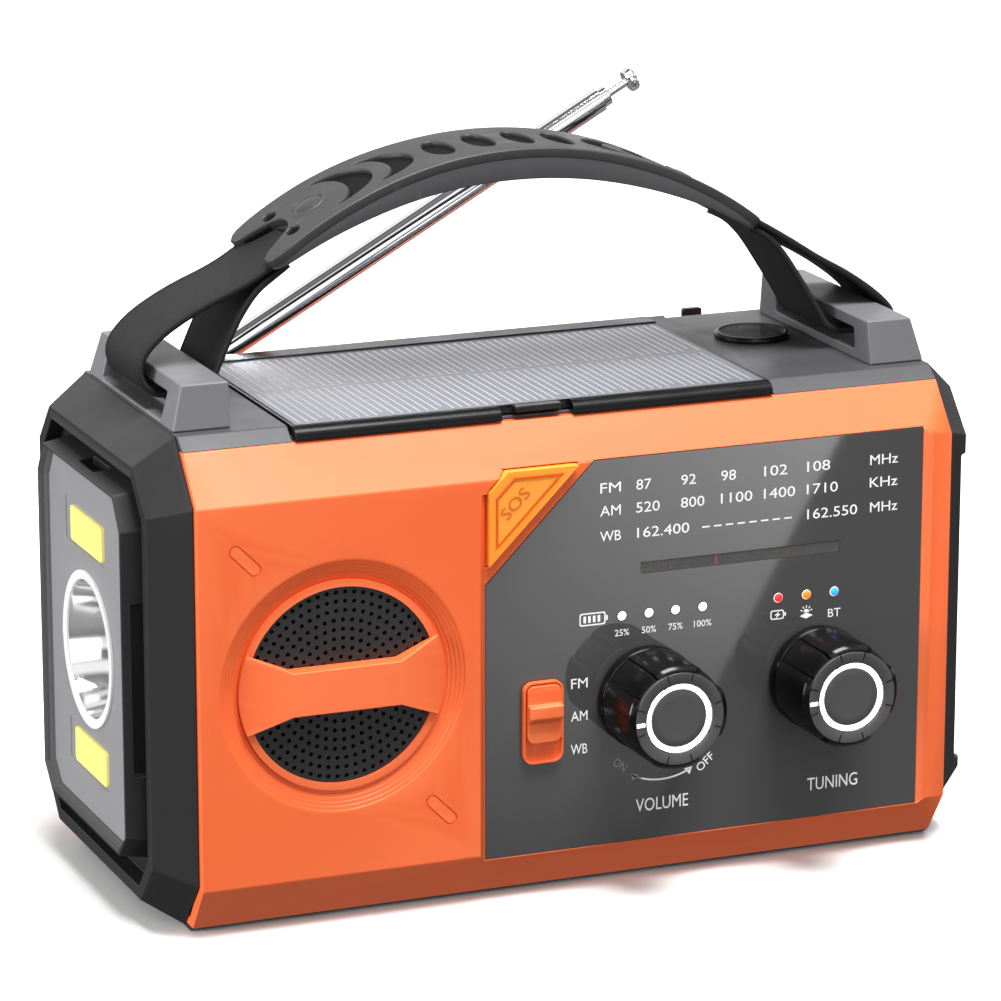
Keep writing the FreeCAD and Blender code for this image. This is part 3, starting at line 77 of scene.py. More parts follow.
class Shader:
    """One Principled material, with short calls for the nodes that feed it."""

    def __init__(self, name, colour, roughness=0.5, **inputs):
        self.material = bpy.data.materials.new(name)
        self.material.use_nodes = True
        self.tree = self.material.node_tree
        self.principled = self.tree.nodes["Principled BSDF"]
        self.colour = colour
        self.set("Base Color", colour)
        self.set("Roughness", roughness)
        for socket, value in inputs.items():
            self.set(socket.replace("_", " "), value)
        self.coordinates = self.tree.nodes.new("ShaderNodeTexCoord")

    def set(self, socket, value):
        self.principled.inputs[socket].default_value = value

    def link(self, output, socket):
        self.tree.links.new(output, socket)

    def node(self, kind, **values):
        node = self.tree.nodes.new(f"ShaderNode{kind}")
        for key, value in values.items():
            if key in node.inputs:
                node.inputs[key].default_value = value
            else:
                setattr(node, key, value)
        return node

    def noise(self, size, detail=2.0, stretch=None):
        """A noise whose features are about size millimetres across."""
        noise = self.node("TexNoise", Scale=1 / mm(size), Detail=detail)
        origin = self.coordinates.outputs["Object"]
        if stretch:
            mapping = self.node("Mapping")
            mapping.inputs["Scale"].default_value = stretch
            self.link(origin, mapping.inputs["Vector"])
            origin = mapping.outputs["Vector"]
        self.link(origin, noise.inputs["Vector"])
        return noise.outputs["Fac"]

    def remap(self, value, low, high, start=0.3, end=0.7):
        node = self.node("MapRange")
        node.inputs["From Min"].default_value = start
        node.inputs["From Max"].default_value = end
        node.inputs["To Min"].default_value = low
        node.inputs["To Max"].default_value = high
        self.link(value, node.inputs["Value"])
        return node.outputs["Result"]

    def mix(self, factor, first, second):
        """A colour mix; first and second are colours or sockets."""
        node = self.node("Mix", data_type="RGBA")
        self.link(factor, node.inputs[0])
        for place, value in ((6, first), (7, second)):
            if isinstance(value, bpy.types.NodeSocket):
                self.link(value, node.inputs[place])
            else:
                node.inputs[place].default_value = value
        return node.outputs[2]

    def bump(self, height, depth, strength=1.0):
        """Bump from a height socket whose full range stands for depth millimetres."""
        bump = self.node("Bump", Strength=strength, Distance=mm(depth))
        self.link(height, bump.inputs["Height"])
        before = self.principled.inputs["Normal"]
        if before.is_linked:
            self.link(before.links[0].from_socket, bump.inputs["Normal"])
        self.link(bump.outputs["Normal"], before)

    def shades(self, factor, low, high):
        """Base colour between two brightnesses of the material's colour."""
        tones = [tuple(c * k for c in self.colour[:3]) + (1.0,) for k in (low, high)]
        source = self.mix(factor, *tones)
        self.link(source, self.principled.inputs["Base Color"])
        return source


def worn(shader, amount):
    """Handled plastic: convex edges, where the moulding has rubbed, are a little paler."""
    geometry = shader.node("NewGeometry")
    edges = shader.remap(geometry.outputs["Pointiness"], 0.0, amount, 0.51, 0.6)
    base = shader.principled.inputs["Base Color"]
    paler = tuple(min(1.0, c * 1.5 + 0.04) for c in shader.colour[:3]) + (1.0,)
    shader.link(shader.mix(edges, base.links[0].from_socket, paler), base)


def moulded(name, colour, roughness, grain=0.35, depth=0.012, variation=0.06, wear=0.5, **inputs):
    """Injection-moulded plastic: fine spark-eroded grain, faint tone drift, uneven gloss, paler edges."""
    shader = Shader(name, colour, roughness, **inputs)
    shader.shades(shader.noise(26, 3), 1 - variation, 1 + variation)
    gloss = shader.remap(shader.noise(9, 4), roughness - 0.05, roughness + 0.05)
    shader.link(gloss, shader.principled.inputs["Roughness"])
    shader.bump(shader.noise(grain, 2), depth)
    if wear:
        worn(shader, wear)
    return shader.material


def polished(name, colour, roughness, metallic=1.0, streak=(1, 1, 1), **inputs):
    """Bare or plated metal with faint draw marks."""
    shader = Shader(name, colour, roughness, Metallic=metallic, **inputs)
    shader.shades(shader.noise(12, 3), 0.94, 1.04)
    marks = shader.noise(0.6, 3, stretch=streak)
    shader.link(shader.remap(marks, roughness * 0.8, roughness * 1.35),
                shader.principled.inputs["Roughness"])
    shader.bump(marks, 0.002)
    return shader.material


def clear(name, colour, alpha, roughness=0.04):
    """A clear cover that lets light straight through and keeps a little gloss."""
    shader = Shader(name, colour, roughness, Alpha=alpha, IOR=1.49)
    shader.shades(shader.noise(20, 2), 0.97, 1.03)
    smears = shader.noise(5, 4, stretch=(1, 3, 1))
    shader.link(shader.remap(smears, roughness, roughness + 0.06), shader.principled.inputs["Roughness"])
    return shader.material


def glowing(name, colour, strength):
    """A lit diffuser: bright in the middle of its range with a faint mottle. The dial's white print and the
    needle mark use it too, though neither is a lamp, so their glow is painted light.
    """
    shader = Shader(name, colour, 0.35)
    tone = shader.shades(shader.noise(3, 2), 0.96, 1.03)
    shader.link(tone, shader.principled.inputs["Emission Color"])
    shader.set("Emission Strength", strength)
    return shader.material


def woven(name, colour):
    """Nylon webbing: ribs across the strap broken by a plain weave, from the strap's own UV in mm."""
    shader = Shader(name, colour, 0.62, Specular_IOR_Level=0.2)
    rows = shader.node("TexWave", Scale=0.9, bands_direction="X", wave_profile="SIN")
    columns = shader.node("TexWave", Scale=0.55, bands_direction="Y", wave_profile="SIN")
    for wave in (rows, columns):
        wave.inputs["Distortion"].default_value = 0.25
        shader.link(shader.coordinates.outputs["UV"], wave.inputs["Vector"])
    blend = shader.node("Math", operation="MULTIPLY")
    shader.link(rows.outputs["Fac"], blend.inputs[0])
    shader.link(columns.outputs["Fac"], blend.inputs[1])
    shader.shades(blend.outputs[0], 0.7, 1.25)
    shader.bump(blend.outputs[0], 0.22, 0.8)
    shader.bump(shader.noise(0.25, 2), 0.02)
    return shader.material


def panel_film(name, colour):
    """Printed film on the dial under a clear lacquer."""
    shader = Shader(name, colour, 0.46, Specular_IOR_Level=0.3, Coat_Weight=1.0, Coat_Roughness=0.03)
    shader.shades(shader.noise(30, 3), 0.96, 1.04)
    shader.bump(shader.noise(0.25, 2), 0.002)
    return shader.material


def silicon(name):
    """Solar cells under laminate: blue-black silicon with a soft cloud of crystal tone."""
    shader = Shader(name, srgb(80, 81, 91), 0.34, Coat_Weight=0.3, Coat_Roughness=0.3)
    shader.shades(shader.noise(18, 4, stretch=(1, 2.2, 1)), 0.62, 1.2)
    shader.bump(shader.noise(1.5, 2), 0.004)
    return shader.material


def rubber(name, colour, roughness=0.6):
    return moulded(name, colour, roughness, grain=0.5, depth=0.03, variation=0.09, wear=0.35)


MATERIALS = {
    "orange_shell": moulded("orange_plastic", srgb(235, 102, 51), 0.42, Specular_IOR_Level=0.4),
    "orange_button": moulded("light_orange_plastic", srgb(255, 140, 32), 0.36),
    "dark_frame": moulded("dark_frame_plastic", srgb(34, 34, 35), 0.46, grain=0.45, depth=0.02,
                          Specular_IOR_Level=0.18),
    "grey_cover": moulded("cover_plastic", srgb(58, 58, 60), 0.4, grain=0.4, Specular_IOR_Level=0.3),
    "black_trim": moulded("black_plastic", srgb(11, 11, 12), 0.24, wear=0.2, Specular_IOR_Level=0.2),
    "dial_film": panel_film("dial_film", srgb(66, 66, 67)),
    "clear_window": clear("clear_window", (0.6, 0.6, 0.6, 1), 0.07),
    "smoked_window": clear("smoked_window", srgb(92, 90, 90), 0.6, 0.3),
    "knob_gloss": moulded("gloss_black_plastic", srgb(6, 6, 7), 0.18, grain=0.8, depth=0.002, wear=0.1,
                          Specular_IOR_Level=0.25),
    "led_lenses": glowing("white_led", (1.0, 1.0, 1.0, 1), 1.6),
    "lamp_emitters": glowing("phosphor", srgb(240, 226, 112), 0.36),
    "reflector": polished("mirror_coating", (0.93, 0.93, 0.94, 1), 0.1),
    "lamp_plate_grey": moulded("lamp_plate_plastic", srgb(134, 134, 137), 0.45, wear=0),
    "webbing": woven("nylon_webbing", srgb(30, 30, 31)),
    "rubber_grip": rubber("grip_rubber", srgb(41, 41, 42), 0.5),
    "chrome_tube": polished("chrome", (0.9, 0.9, 0.92, 1), 0.06, streak=(0.2, 4, 4)),
    "steel": polished("zinc_steel", (0.55, 0.55, 0.57, 1), 0.32),
    "solar": silicon("solar_silicon"),
    "grille_steel": moulded("grille_paint", srgb(46, 46, 48), 0.38, wear=0, Metallic=0.35),
    "cone_paper": moulded("cone_pulp", srgb(10, 10, 10), 0.8, grain=1.2, depth=0.05, wear=0),
    "board_green": moulded("board_laminate", srgb(22, 78, 44), 0.4, wear=0),
    "cell_wrap": moulded("cell_wrap", srgb(48, 104, 170), 0.25, wear=0),
    "compass_face": moulded("compass_print", srgb(225, 225, 222), 0.5, wear=0),
    "rubber_black": rubber("foot_rubber", srgb(22, 22, 22), 0.7),
    "white_plastic": moulded("white_plastic", srgb(228, 228, 224), 0.4, wear=0),
    # The dial's white print glows a little. This is painted light, because the print is no lamp.
    "print_white": glowing("white_print_painted_glow", srgb(238, 238, 238), 0.12),
    "print_grey": moulded("grey_print", srgb(150, 150, 150), 0.5, wear=0),
    "ring_light": glowing("ring_light", (1.0, 1.0, 1.0, 1), 2.2),
    "red_led": glowing("red_led", srgb(255, 40, 36), 1.3),
    "amber_led": glowing("amber_led", srgb(255, 110, 24), 1.3),
    "blue_led": glowing("blue_led", srgb(40, 140, 255), 1.3),
    # The needle mark glows so that it shows through the smoked window. This is painted light, because the
    # needle is no lamp.
    "needle_red": glowing("needle_red", srgb(235, 40, 40), 0.9),
    "knob_face": moulded("knob_face_plastic", srgb(70, 70, 71), 0.36, grain=0.8, depth=0.003, wear=0),
    "finger_silver": polished("printed_silver", srgb(235, 235, 240), 0.45),
    "sos_ink": moulded("sos_ink", srgb(214, 104, 22), 0.4, wear=0),
    "rubber_side": rubber("grip_rubber_side", srgb(62, 62, 64), 0.6),
    "ring_white": moulded("ring_white", srgb(250, 250, 250), 0.3, wear=0),
    "rubber_web": moulded("grip_web_rubber", srgb(9, 9, 10), 0.6, wear=0,
                          Specular_IOR_Level=0.08),
    "anchor_grey": moulded("anchor_plastic", srgb(94, 94, 96), 0.4, grain=0.4,
                            Specular_IOR_Level=0.3),
}


# ---- mesh helpers -----------------------------------------------------------------------------------

def piece(name, mesh, body, finish, *nodes, smooth=None):
    """A visible mesh that rides on a body, and stands for the CAD nodes given."""
    if smooth is not None:
        mesh.shade_smooth()
        mesh.set_sharp_from_angle(angle=math.radians(smooth))
    mesh.materials.clear()
    mesh.materials.append(MATERIALS[finish])
    thing = bpy.data.objects.new(name, mesh)
    bpy.context.scene.collection.objects.link(thing)
    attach(thing, body)
    if nodes:
        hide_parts(*nodes)
    return thing


def from_bmesh(name, bm):
    mesh = bpy.data.meshes.new(name)
    bmesh.ops.recalc_face_normals(bm, faces=bm.faces)
    bm.to_mesh(mesh)
    bm.free()
    return mesh


MERGE_GAP, FLAT_ENOUGH, SHARP_ENOUGH = 0.002, 0.06, 22      # mm, degrees, degrees
EDGE_SHARE, LEAST_RADIUS = 0.38, 0.035                       # of the shortest edge beside it; mm


def softened(node, width, finish=None, merge=True, shortest=0.0):
    """Replaces a CAD node with a copy whose moulded edges are rounded by width millimetres.

    Edges beside small features get a smaller radius, so that nothing folds over itself. Edges shorter
    than shortest stay as they are, and merge joins coplanar faces first.
    """
    bm = bmesh.new()
    bm.from_mesh(NODES[node].data)
    bmesh.ops.remove_doubles(bm, verts=bm.verts, dist=mm(MERGE_GAP))
    if merge:
        bmesh.ops.dissolve_limit(bm, angle_limit=math.radians(FLAT_ENOUGH), verts=bm.verts,
                                 edges=bm.edges)
    weights = bm.edges.layers.float.new("bevel_weight_edge")
    sharp = {edge for edge in bm.edges
             if len(edge.link_faces) != 2 or edge.calc_face_angle(0) > math.radians(SHARP_ENOUGH)}
    for edge in bm.edges:
        edge.smooth = edge not in sharp
        if edge not in sharp or len(edge.link_faces) != 2 or edge.calc_length() < mm(shortest):
            continue
        around = [other.calc_length() for vertex in edge.verts for other in vertex.link_edges
                  if merge or other in sharp]
        room = min(1.0, EDGE_SHARE * min(around) / mm(width))
        if room * width > LEAST_RADIUS:
            edge[weights] = room
            edge.smooth = True
    mesh = bpy.data.meshes.new(f"{node}_soft")
    bm.to_mesh(mesh)
    bm.free()
    mesh.shade_smooth()
    thing = piece(f"{node}_skin", mesh, BODY_OF[node], finish or SLOT_OF[node], node)
    bevel = thing.modifiers.new("rounding", "BEVEL")
    bevel.limit_method = "WEIGHT"
    bevel.width = mm(width)
    bevel.segments = 3
    bevel.use_clamp_overlap = False
    bevel.miter_outer = "MITER_ARC"
    bevel.face_strength_mode = "FSTR_ALL"
    flats = thing.modifiers.new("flats", "WEIGHTED_NORMAL")
    flats.keep_sharp = True
    flats.use_face_influence = True
    return thing


def ring_of(bm, count, place):
    """One closed loop of vertices; place(angle) gives each one's position."""
    return [bm.verts.new(place(math.tau * i / count)) for i in range(count)]


def bridge(bm, first, second):
    count = len(first)
    for i in range(count):
        after = (i + 1) % count
        bm.faces.new((first[i], first[after], second[after], second[i]))


def lathe(name, profile, axis_at, along="-y", count=96):
    """A turned solid. profile is a closed ring of (radius, distance along the axis) pairs in mm."""
    direction = {"-y": Vector((0, -1, 0)), "z": Vector((0, 0, 1)), "-x": Vector((-1, 0, 0)),
                 "x": Vector((1, 0, 0))}[along]
    side = Vector((1, 0, 0)) if abs(direction.x) < 0.5 else Vector((0, 1, 0))
    other = direction.cross(side)
    bm = bmesh.new()
    loops = []
    for radius, height in profile:
        centre = axis_at + direction * mm(height)
        if radius < 1e-6:
            loops.append([bm.verts.new(centre)])
            continue
        loops.append(ring_of(bm, count, lambda angle: centre + (side * math.cos(angle)
                                                                + other * math.sin(angle)) * mm(radius)))
    for first, second in zip(loops, loops[1:] + loops[:1]):
        if len(first) == len(second) == 1:
            continue
        if len(first) == 1 or len(second) == 1:
            tip, rim = (first[0], second) if len(first) == 1 else (second[0], first)
            for i in range(count):
                bm.faces.new((tip, rim[i], rim[(i + 1) % count]))
        else:
            bridge(bm, first, second)
    return from_bmesh(name, bm)


def outline_solid(name, loops, low, high, rounding=0.0, place=FACING_FRONT):
    """A flat shape with holes, from loops of (x, y) in mm, between two heights, with rounded edges.

    The first loop is the outside. place stands the shape up: its height runs towards -Y by default.
    """
    curve = bpy.data.curves.new(name, "CURVE")
    curve.dimensions = "2D"
    curve.fill_mode = "BOTH"
    for loop in loops:
        spline = curve.splines.new("POLY")
        spline.points.add(len(loop) - 1)
        for point, (x, y) in zip(spline.points, loop):
            point.co = (mm(x), mm(y), 0, 1)
        spline.use_cyclic_u = True
    curve.extrude = mm((high - low) / 2 - rounding)
    curve.bevel_depth = mm(rounding)
    curve.bevel_resolution = 3
    curve.offset = -mm(rounding)
    holder = bpy.data.objects.new(name, curve)
    mesh = bpy.data.meshes.new_from_object(holder)
    bpy.data.objects.remove(holder)
    bpy.data.curves.remove(curve)
    mesh.transform(place @ Matrix.Translation((0, 0, mm((low + high) / 2))))
    mesh.name = name
    return mesh


def joined(name, meshes):
    bm = bmesh.new()
    for mesh in meshes:
        bm.from_mesh(mesh)
        bpy.data.meshes.remove(mesh)
    mesh = bpy.data.meshes.new(name)
    bm.to_mesh(mesh)
    bm.free()
    return mesh


def rounded_box(x, y, radius, steps=5):
    """The outline of a rounded rectangle from low and high pairs."""
    points = []
    corners = ((x[1] - radius, y[1] - radius, 0), (x[0] + radius, y[1] - radius, 90),
               (x[0] + radius, y[0] + radius, 180), (x[1] - radius, y[0] + radius, 270))
    for cx, cy, start in corners:
        for i in range(steps + 1):
            angle = math.radians(start + 90 * i / steps)
            points.append((cx + radius * math.cos(angle), cy + radius * math.sin(angle)))
    return points


def circle(x, y, radius, count=28, squash=1.0):
    return [(x + radius * math.cos(math.tau * i / count),
             y + squash * radius * math.sin(math.tau * i / count)) for i in range(count)]


# ---- lettering --------------------------------------------------------------------------------------

def text_mesh(text, size):
    curve = bpy.data.curves.new("text", "FONT")
    curve.body = text
    curve.size = size
    curve.extrude = 0.01 * MM
    curve.resolution_u = 3
    holder = bpy.data.objects.new("text", curve)
    mesh = bpy.data.meshes.new_from_object(holder)
    bpy.data.objects.remove(holder)
    bpy.data.curves.remove(curve)
    return mesh


def extent(mesh, axis):
    values = [vertex.co[axis] for vertex in mesh.vertices]
    return min(values), max(values)


CAPITAL = extent(text_mesh("H", 1.0), 1)[1]


def lettering(text, x, y, capital, width=None, place=FACING_FRONT, tilt=0.0, centred=False):
    """Flat lettering with its left end, or its middle, at x and its baseline at y, all in mm."""
    mesh = text_mesh(text, mm(capital) / CAPITAL)
    left, right = extent(mesh, 0)
    stretch = mm(width) / (right - left) if width else 1.0
    start = -(left + right) / 2 if centred else -left
    mesh.transform(Matrix.Translation((mm(x), mm(y), 0)) @ Matrix.Rotation(math.radians(tilt), 4, "Z")
                   @ Matrix.Diagonal((stretch, 1, 1, 1)) @ Matrix.Translation((start, 0, 0)))
    mesh.transform(place)
    return mesh


def on_plane(y):
    """Stands a drawing up so that it faces -Y at that depth in mm."""
    return Matrix.Translation((0, mm(y), 0)) @ FACING_FRONT


def flat(loops, depth=0.02, place=FACING_FRONT):
    return outline_solid("flat", loops, -depth / 2, depth / 2, 0, place)


# ---- dial side --------------------------------------------------------------------------------------

PANEL_Y = -46.115
NEEDLE_X, NEEDLE_FRONT = 34.4, -45.01
BANDS = (("FM", 96.7, ("87", "92", "98", "102", "108"), "MHz"),
         ("AM", 91.2, ("520", "800", "1100", "1400", "1710"), "KHz"))
COLUMNS = (13.3, 24.7, 34.95, 46.05, 57.2)
DIGIT_WIDTH = {1: 1.6, 2: 3.8, 3: 6.0, 4: 8.1}
WHITE_LEDS = ((9.9, "25%"), (16.8, "50%"), (23.6, "75%"), (30.6, "100%"))
LED_Z = 66.6


def stroke(points, width):
    """A line drawn with square ends as one closed outline."""
    left, right = [], []
    for i, (x, y) in enumerate(points):
        before = Vector(points[max(i - 1, 0)])
        after = Vector(points[min(i + 1, len(points) - 1)])
        along = (after - before).normalized()
        across = Vector((-along.y, along.x)) * width / 2
        left.append((x + across.x, y + across.y))
        right.append((x - across.x, y - across.y))
    return left + right[::-1]


def arc(x, y, radius, start, end, steps=14):
    return [(x + radius * math.cos(math.radians(start + (end - start) * i / steps)),
             y + radius * math.sin(math.radians(start + (end - start) * i / steps)))
            for i in range(steps + 1)]


def battery_icon(x, y, width, height, line, place):
    """A cell outline with its terminal on the right."""
    outer = rounded_box((x, x + width), (y, y + height), 0.55)
    inner = rounded_box((x + line, x + width - line), (y + line, y + height - line), 0.35)
    nub = rounded_box((x + width + 0.12, x + width + 0.55), (y + height * 0.3, y + height * 0.7), 0.15)
    return [flat([outer, inner], place=place), flat([nub], place=place)]


def dial_printing():
    place = on_plane(PANEL_Y)
    white = []
    for band, z, numbers, unit in BANDS:
        white.append(lettering(band, 4.2, z, 2.4, 5.2, place))
        white.append(lettering(unit, 73.7, z, 2.4, 7.3, place))
        for x, number in zip(COLUMNS, numbers):
            white.append(lettering(number, x, z, 2.4, DIGIT_WIDTH[len(number)], place))
    for text, x, width in (("WB", 4.2, 5.3), ("162.400", 13.6, 13.3), ("162.550", 57.4, 13.1),
                           ("MHz", 73.9, 7.2)):
        white.append(lettering(text, x, 85.1, 2.4, width, place))
    for i in range(8):
        start = 30.2 + i * 3.03
        white.append(flat([rounded_box((start, start + 1.95), (85.8, 86.15), 0.1)], place=place))
    for label, z in (("FM", 50.2), ("AM", 42.2), ("WB", 34.1)):
        white.append(lettering(label, -2.95, z, 2.4, 4.2, place))
    white.append(lettering("VOLUME", 13.8, 17.9, 3.1, 13.5, place))
    white.append(lettering("TUNING", 58.6, 17.6, 3.1, 13.3, place))
    for x, label in WHITE_LEDS:
        white.append(lettering(label, x, 61.8, 1.55, 1.1 + 0.85 * len(label), place, centred=True))
    white += battery_icon(-0.9, 65.1, 6.6, 3.1, 0.32, place)
    white += [flat([rounded_box((0.1 + 1.2 * i, 0.75 + 1.2 * i), (65.85, 67.45), 0.1)], place=place)
              for i in range(4)]
    white += battery_icon(48.2, 61.3, 3.5, 2.3, 0.28, place)
    bolt = [(50.5, 63.3), (49.2, 62.3), (50.0, 62.3), (49.5, 61.5), (50.9, 62.6), (50.1, 62.6)]
    white.append(flat([bolt], place=place))
    white.append(flat([[(55.9, 61.4), (57.6, 60.7), (59.3, 61.4), (57.6, 62.2)]], place=place))
    white.append(flat([arc(57.6, 62.3, 0.75, 0, 180)], place=place))
    for angle in (20, 55, 90, 125, 160):
        ray = [(57.6 + r * math.cos(math.radians(angle)), 62.3 + r * math.sin(math.radians(angle)))
               for r in (1.05, 1.65)]
        white.append(flat([stroke(ray, 0.24)], place=place))
    white.append(lettering("BT", 64.95, 60.4, 2.0, 3.3, place, centred=True))
    sweep = arc(20.35, 41.9, 16.6, 242.5, 297.5, 24)
    white.append(flat([stroke(sweep[4:], 0.42)], place=place))
    white.append(flat([[(28.3, 27.5), (26.2, 27.2), (27.6, 25.6)]], place=place))
    white.append(lettering("OFF", 30.4, 25.8, 2.0, 5.0, place, tilt=42))
    piece("dial_print", joined("dial_print", white), "casing", "print_white")
    faint = [flat([stroke(sweep[:5], 0.36)], place=place),
             flat([[(12.4, 27.6), (14.3, 27.1), (13.0, 25.8)]], place=place),
             lettering("ON", 7.6, 30.4, 2.0, 3.6, place, tilt=-36)]
    piece("dial_print_faint", joined("dial_print_faint", faint), "casing", "print_grey")


def indicators():
    """The light pipes' domes; the ones on the left are white, then red, amber and blue."""
    profile = ((0, 46.5), (0.5, 46.45), (0.85, 46.3), (1.05, 46.1), (1.05, 45.6), (0, 45.6))
    for name, finish, places in (("white_leds", "led_lenses", [x for x, _ in WHITE_LEDS]),
                                 ("red_led", "red_led", [50.2]), ("amber_led", "amber_led", [57.6]),
                                 ("blue_led", "blue_led", [64.9])):
        domes = [lathe(name, profile, mm(x, 0, LED_Z), count=32) for x in places]
        piece(name, joined(name, domes), "casing", finish, smooth=35)
    for x, _ in WHITE_LEDS:
        halo = lathe(f"led_ring_{x:.0f}", ((1.12, 46.1), (1.12, 46.18), (1.32, 46.18), (1.32, 46.1)),
                     mm(x, 0, LED_Z), count=32)
        piece(halo.name, halo, "casing", "knob_face", smooth=35)


def knob(label, body, x, z):
    """Plain base flange, a skirt of raised and scalloped segments, a lit ring and a satin centre."""
    centre = mm(x, 0, z)
    flange = lathe(f"{label}_flange", (
        (4, 46.5), (12.0, 46.5), (12.45, 46.9), (12.55, 49.2), (12.3, 49.6), (11.8, 49.75), (11.8, 50.1),
        (4, 50.1)), centre)
    piece(f"{label}_flange", flange, body, "knob_gloss", label, smooth=35)

    raised = ((10, 50.0), (12.2, 50.0), (12.6, 50.35), (12.6, 64.5), (12.4, 65.0), (11.5, 65.85),
              (11.1, 66.0), (8.4, 66.0))
    sunk = ((10, 50.0), (11.7, 50.0), (12.1, 50.35), (12.1, 62.6), (11.9, 63.2), (11.4, 65.4), (10.9, 65.7),
            (8.4, 65.7))
    bm = bmesh.new()
    columns = []
    for middle, half, profile in [(90 * i, 28.2, raised) for i in range(4)] + \
                                 [(45 + 90 * i, 16.2, sunk) for i in range(4)]:
        steps = 12
        for step in range(steps + 1):
            angle = middle - half + 2 * half * step / steps
            tuck = 0.16 if step in (0, steps) else 0.0
            columns.append((angle % 360, [(r - tuck, y - tuck) for r, y in profile]))
    columns.sort(key=lambda column: column[0])
    strips = []
    for angle, profile in columns:
        turn = math.radians(angle)
        strips.append([bm.verts.new(centre + mm(r * math.cos(turn), -y, r * math.sin(turn)))
                       for r, y in profile])
    for first, second in zip(strips, strips[1:] + strips[:1]):
        for i in range(len(first) - 1):
            bm.faces.new((first[i], first[i + 1], second[i + 1], second[i]))
    piece(f"{label}_skirt", from_bmesh(f"{label}_skirt", bm), body, "knob_gloss", smooth=28)

    face = lathe(f"{label}_face", ((0, 65.55), (5.0, 65.6), (6.5, 65.65), (6.9, 65.5), (7.0, 65.1),
                                   (8.8, 64.9), (8.8, 64.3), (0, 64.3)), centre)
    piece(f"{label}_face", face, body, "knob_face", smooth=35)
    light = lathe(f"{label}_ring", ((7.05, 65.0), (7.1, 65.5), (7.3, 65.6), (8.1, 65.6), (8.3, 65.5),
                                    (8.35, 65.0)), centre)
    piece(f"{label}_ring", light, body, "ring_light", smooth=40)
    annulus = lathe(f"{label}_annulus", ((8.5, 65.2), (8.5, 66.0), (8.7, 66.12), (11.0, 66.08),
                                         (11.15, 65.95), (11.1, 65.2)), centre)
    piece(f"{label}_annulus", annulus, body, "knob_face", smooth=35)
    cuts = []
    for i in range(8):
        turn = math.radians(22.5 + 45 * i + (5.5 if i % 2 else -5.5))
        line = [(x + r * math.cos(turn), z + r * math.sin(turn)) for r in (9.2, 11.3)]
        cuts.append(flat([stroke(line, 0.32)], 0.03, on_plane(-66.14)))
    piece(f"{label}_cuts", joined(f"{label}_cuts", cuts), body, "knob_gloss")
    turn = math.radians(183)
    bar = [(x + r * math.cos(turn), z + r * math.sin(turn)) for r in (8.9, 10.9)]
    pointer = outline_solid(f"{label}_pointer", [stroke(bar, 0.9)], 0, 0.24, 0.1, on_plane(-66.0))
    piece(f"{label}_pointer", pointer, body, "ring_light")


def sos_lettering():
    place = on_plane(-48.02)
    triangle = [(-22.3, 86.9), (-6.5, 102.6), (-18.6, 102.6), (-22.3, 98.9)]
    marks = [flat([triangle, inset(triangle, 0.32)], 0.05, place),
             lettering("SOS", -19.7, 93.1, 2.9, 8.2, place, tilt=45)]
    return marks


def inset(loop, distance):
    """A convex outline moved inwards."""
    area = sum(a[0] * b[1] - b[0] * a[1] for a, b in zip(loop, loop[1:] + loop[:1]))
    turn = 1 if area > 0 else -1
    lines = []
    for a, b in zip(loop, loop[1:] + loop[:1]):
        along = Vector((b[0] - a[0], b[1] - a[1])).normalized()
        normal = Vector((-along.y, along.x)) * turn
        lines.append((Vector(a) + normal * distance, along))
    moved = []
    for (p, u), (q, v) in zip(lines[-1:] + lines[:-1], lines):
        cross = u.x * v.y - u.y * v.x
        share = ((q - p).x * v.y - (q - p).y * v.x) / cross
        moved.append(tuple(p + u * share))
    return moved


def dial_side():
    dial_printing()
    indicators()
    # Painted light: the red mark glows through the smoked window, although the needle is no lamp.
    mark = flat([stroke([(NEEDLE_X, 76.2), (NEEDLE_X, 79.2)], 0.8)], 0.02, on_plane(NEEDLE_FRONT))
    piece("needle_mark", mark, "needle", "needle_red")
    knob("volume_knob", "volume", 16.0, 46.5)
    knob("tuning_knob", "tuning", 60.2, 46.5)
    softened("switch_bezel", 0.16)
    softened("band_slider", 0.45)
    piece("sos_marks", joined("sos_marks", sos_lettering()), "sos", "sos_ink")


# ---- solar lid and cover ----------------------------------------------------------------------------

def solar_fingers():
    """Fine silver lines across the cells, in two rows with a gap between them."""
    margin, pitch, finger, rail, half_gap, back = 1.6, 2.1, 0.15, 0.05, 1.2, 26.6
    low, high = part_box("solar_cell")
    place = Matrix.Translation((0, 0, high.z + mm(0.012)))
    left, right, front = low.x / MM + margin, high.x / MM - margin, low.y / MM + margin
    middle = (front + back) / 2
    lines = []
    count = int((right - left) / pitch)
    for row, (near, far) in enumerate(((front, middle - half_gap), (middle + half_gap, back))):
        for i in range(count + 1):
            x = left + (right - left) * (i + (0.5 if row else 0)) / (count + 0.5)
            start = near + 2.4 * (i % 7 == 3 + row)
            lines.append(flat([[(x - finger, start), (x + finger, start), (x + finger, far),
                                (x - finger, far)]], place=place))
    for y in (middle - half_gap, middle + half_gap):
        lines.append(flat([[(left, y - rail), (right, y - rail), (right, y + rail), (left, y + rail)]],
                          place=place))
    piece("solar_fingers", joined("solar_fingers", lines), "lid", "finger_silver")
    # A glossy black strip along the lid's back edge. Its black band is painted shade and a painted dark
    # reflection at that edge.
    rim = outline_solid("lid_rear_shade_rim", [rounded_box((-67.6, 51.3), (28.4, 34.6), 0.6)], 117.3, 117.8,
                        0.2, Matrix.Identity(4))
    piece("lid_rear_shade_rim", rim, "lid", "black_trim", smooth=40)


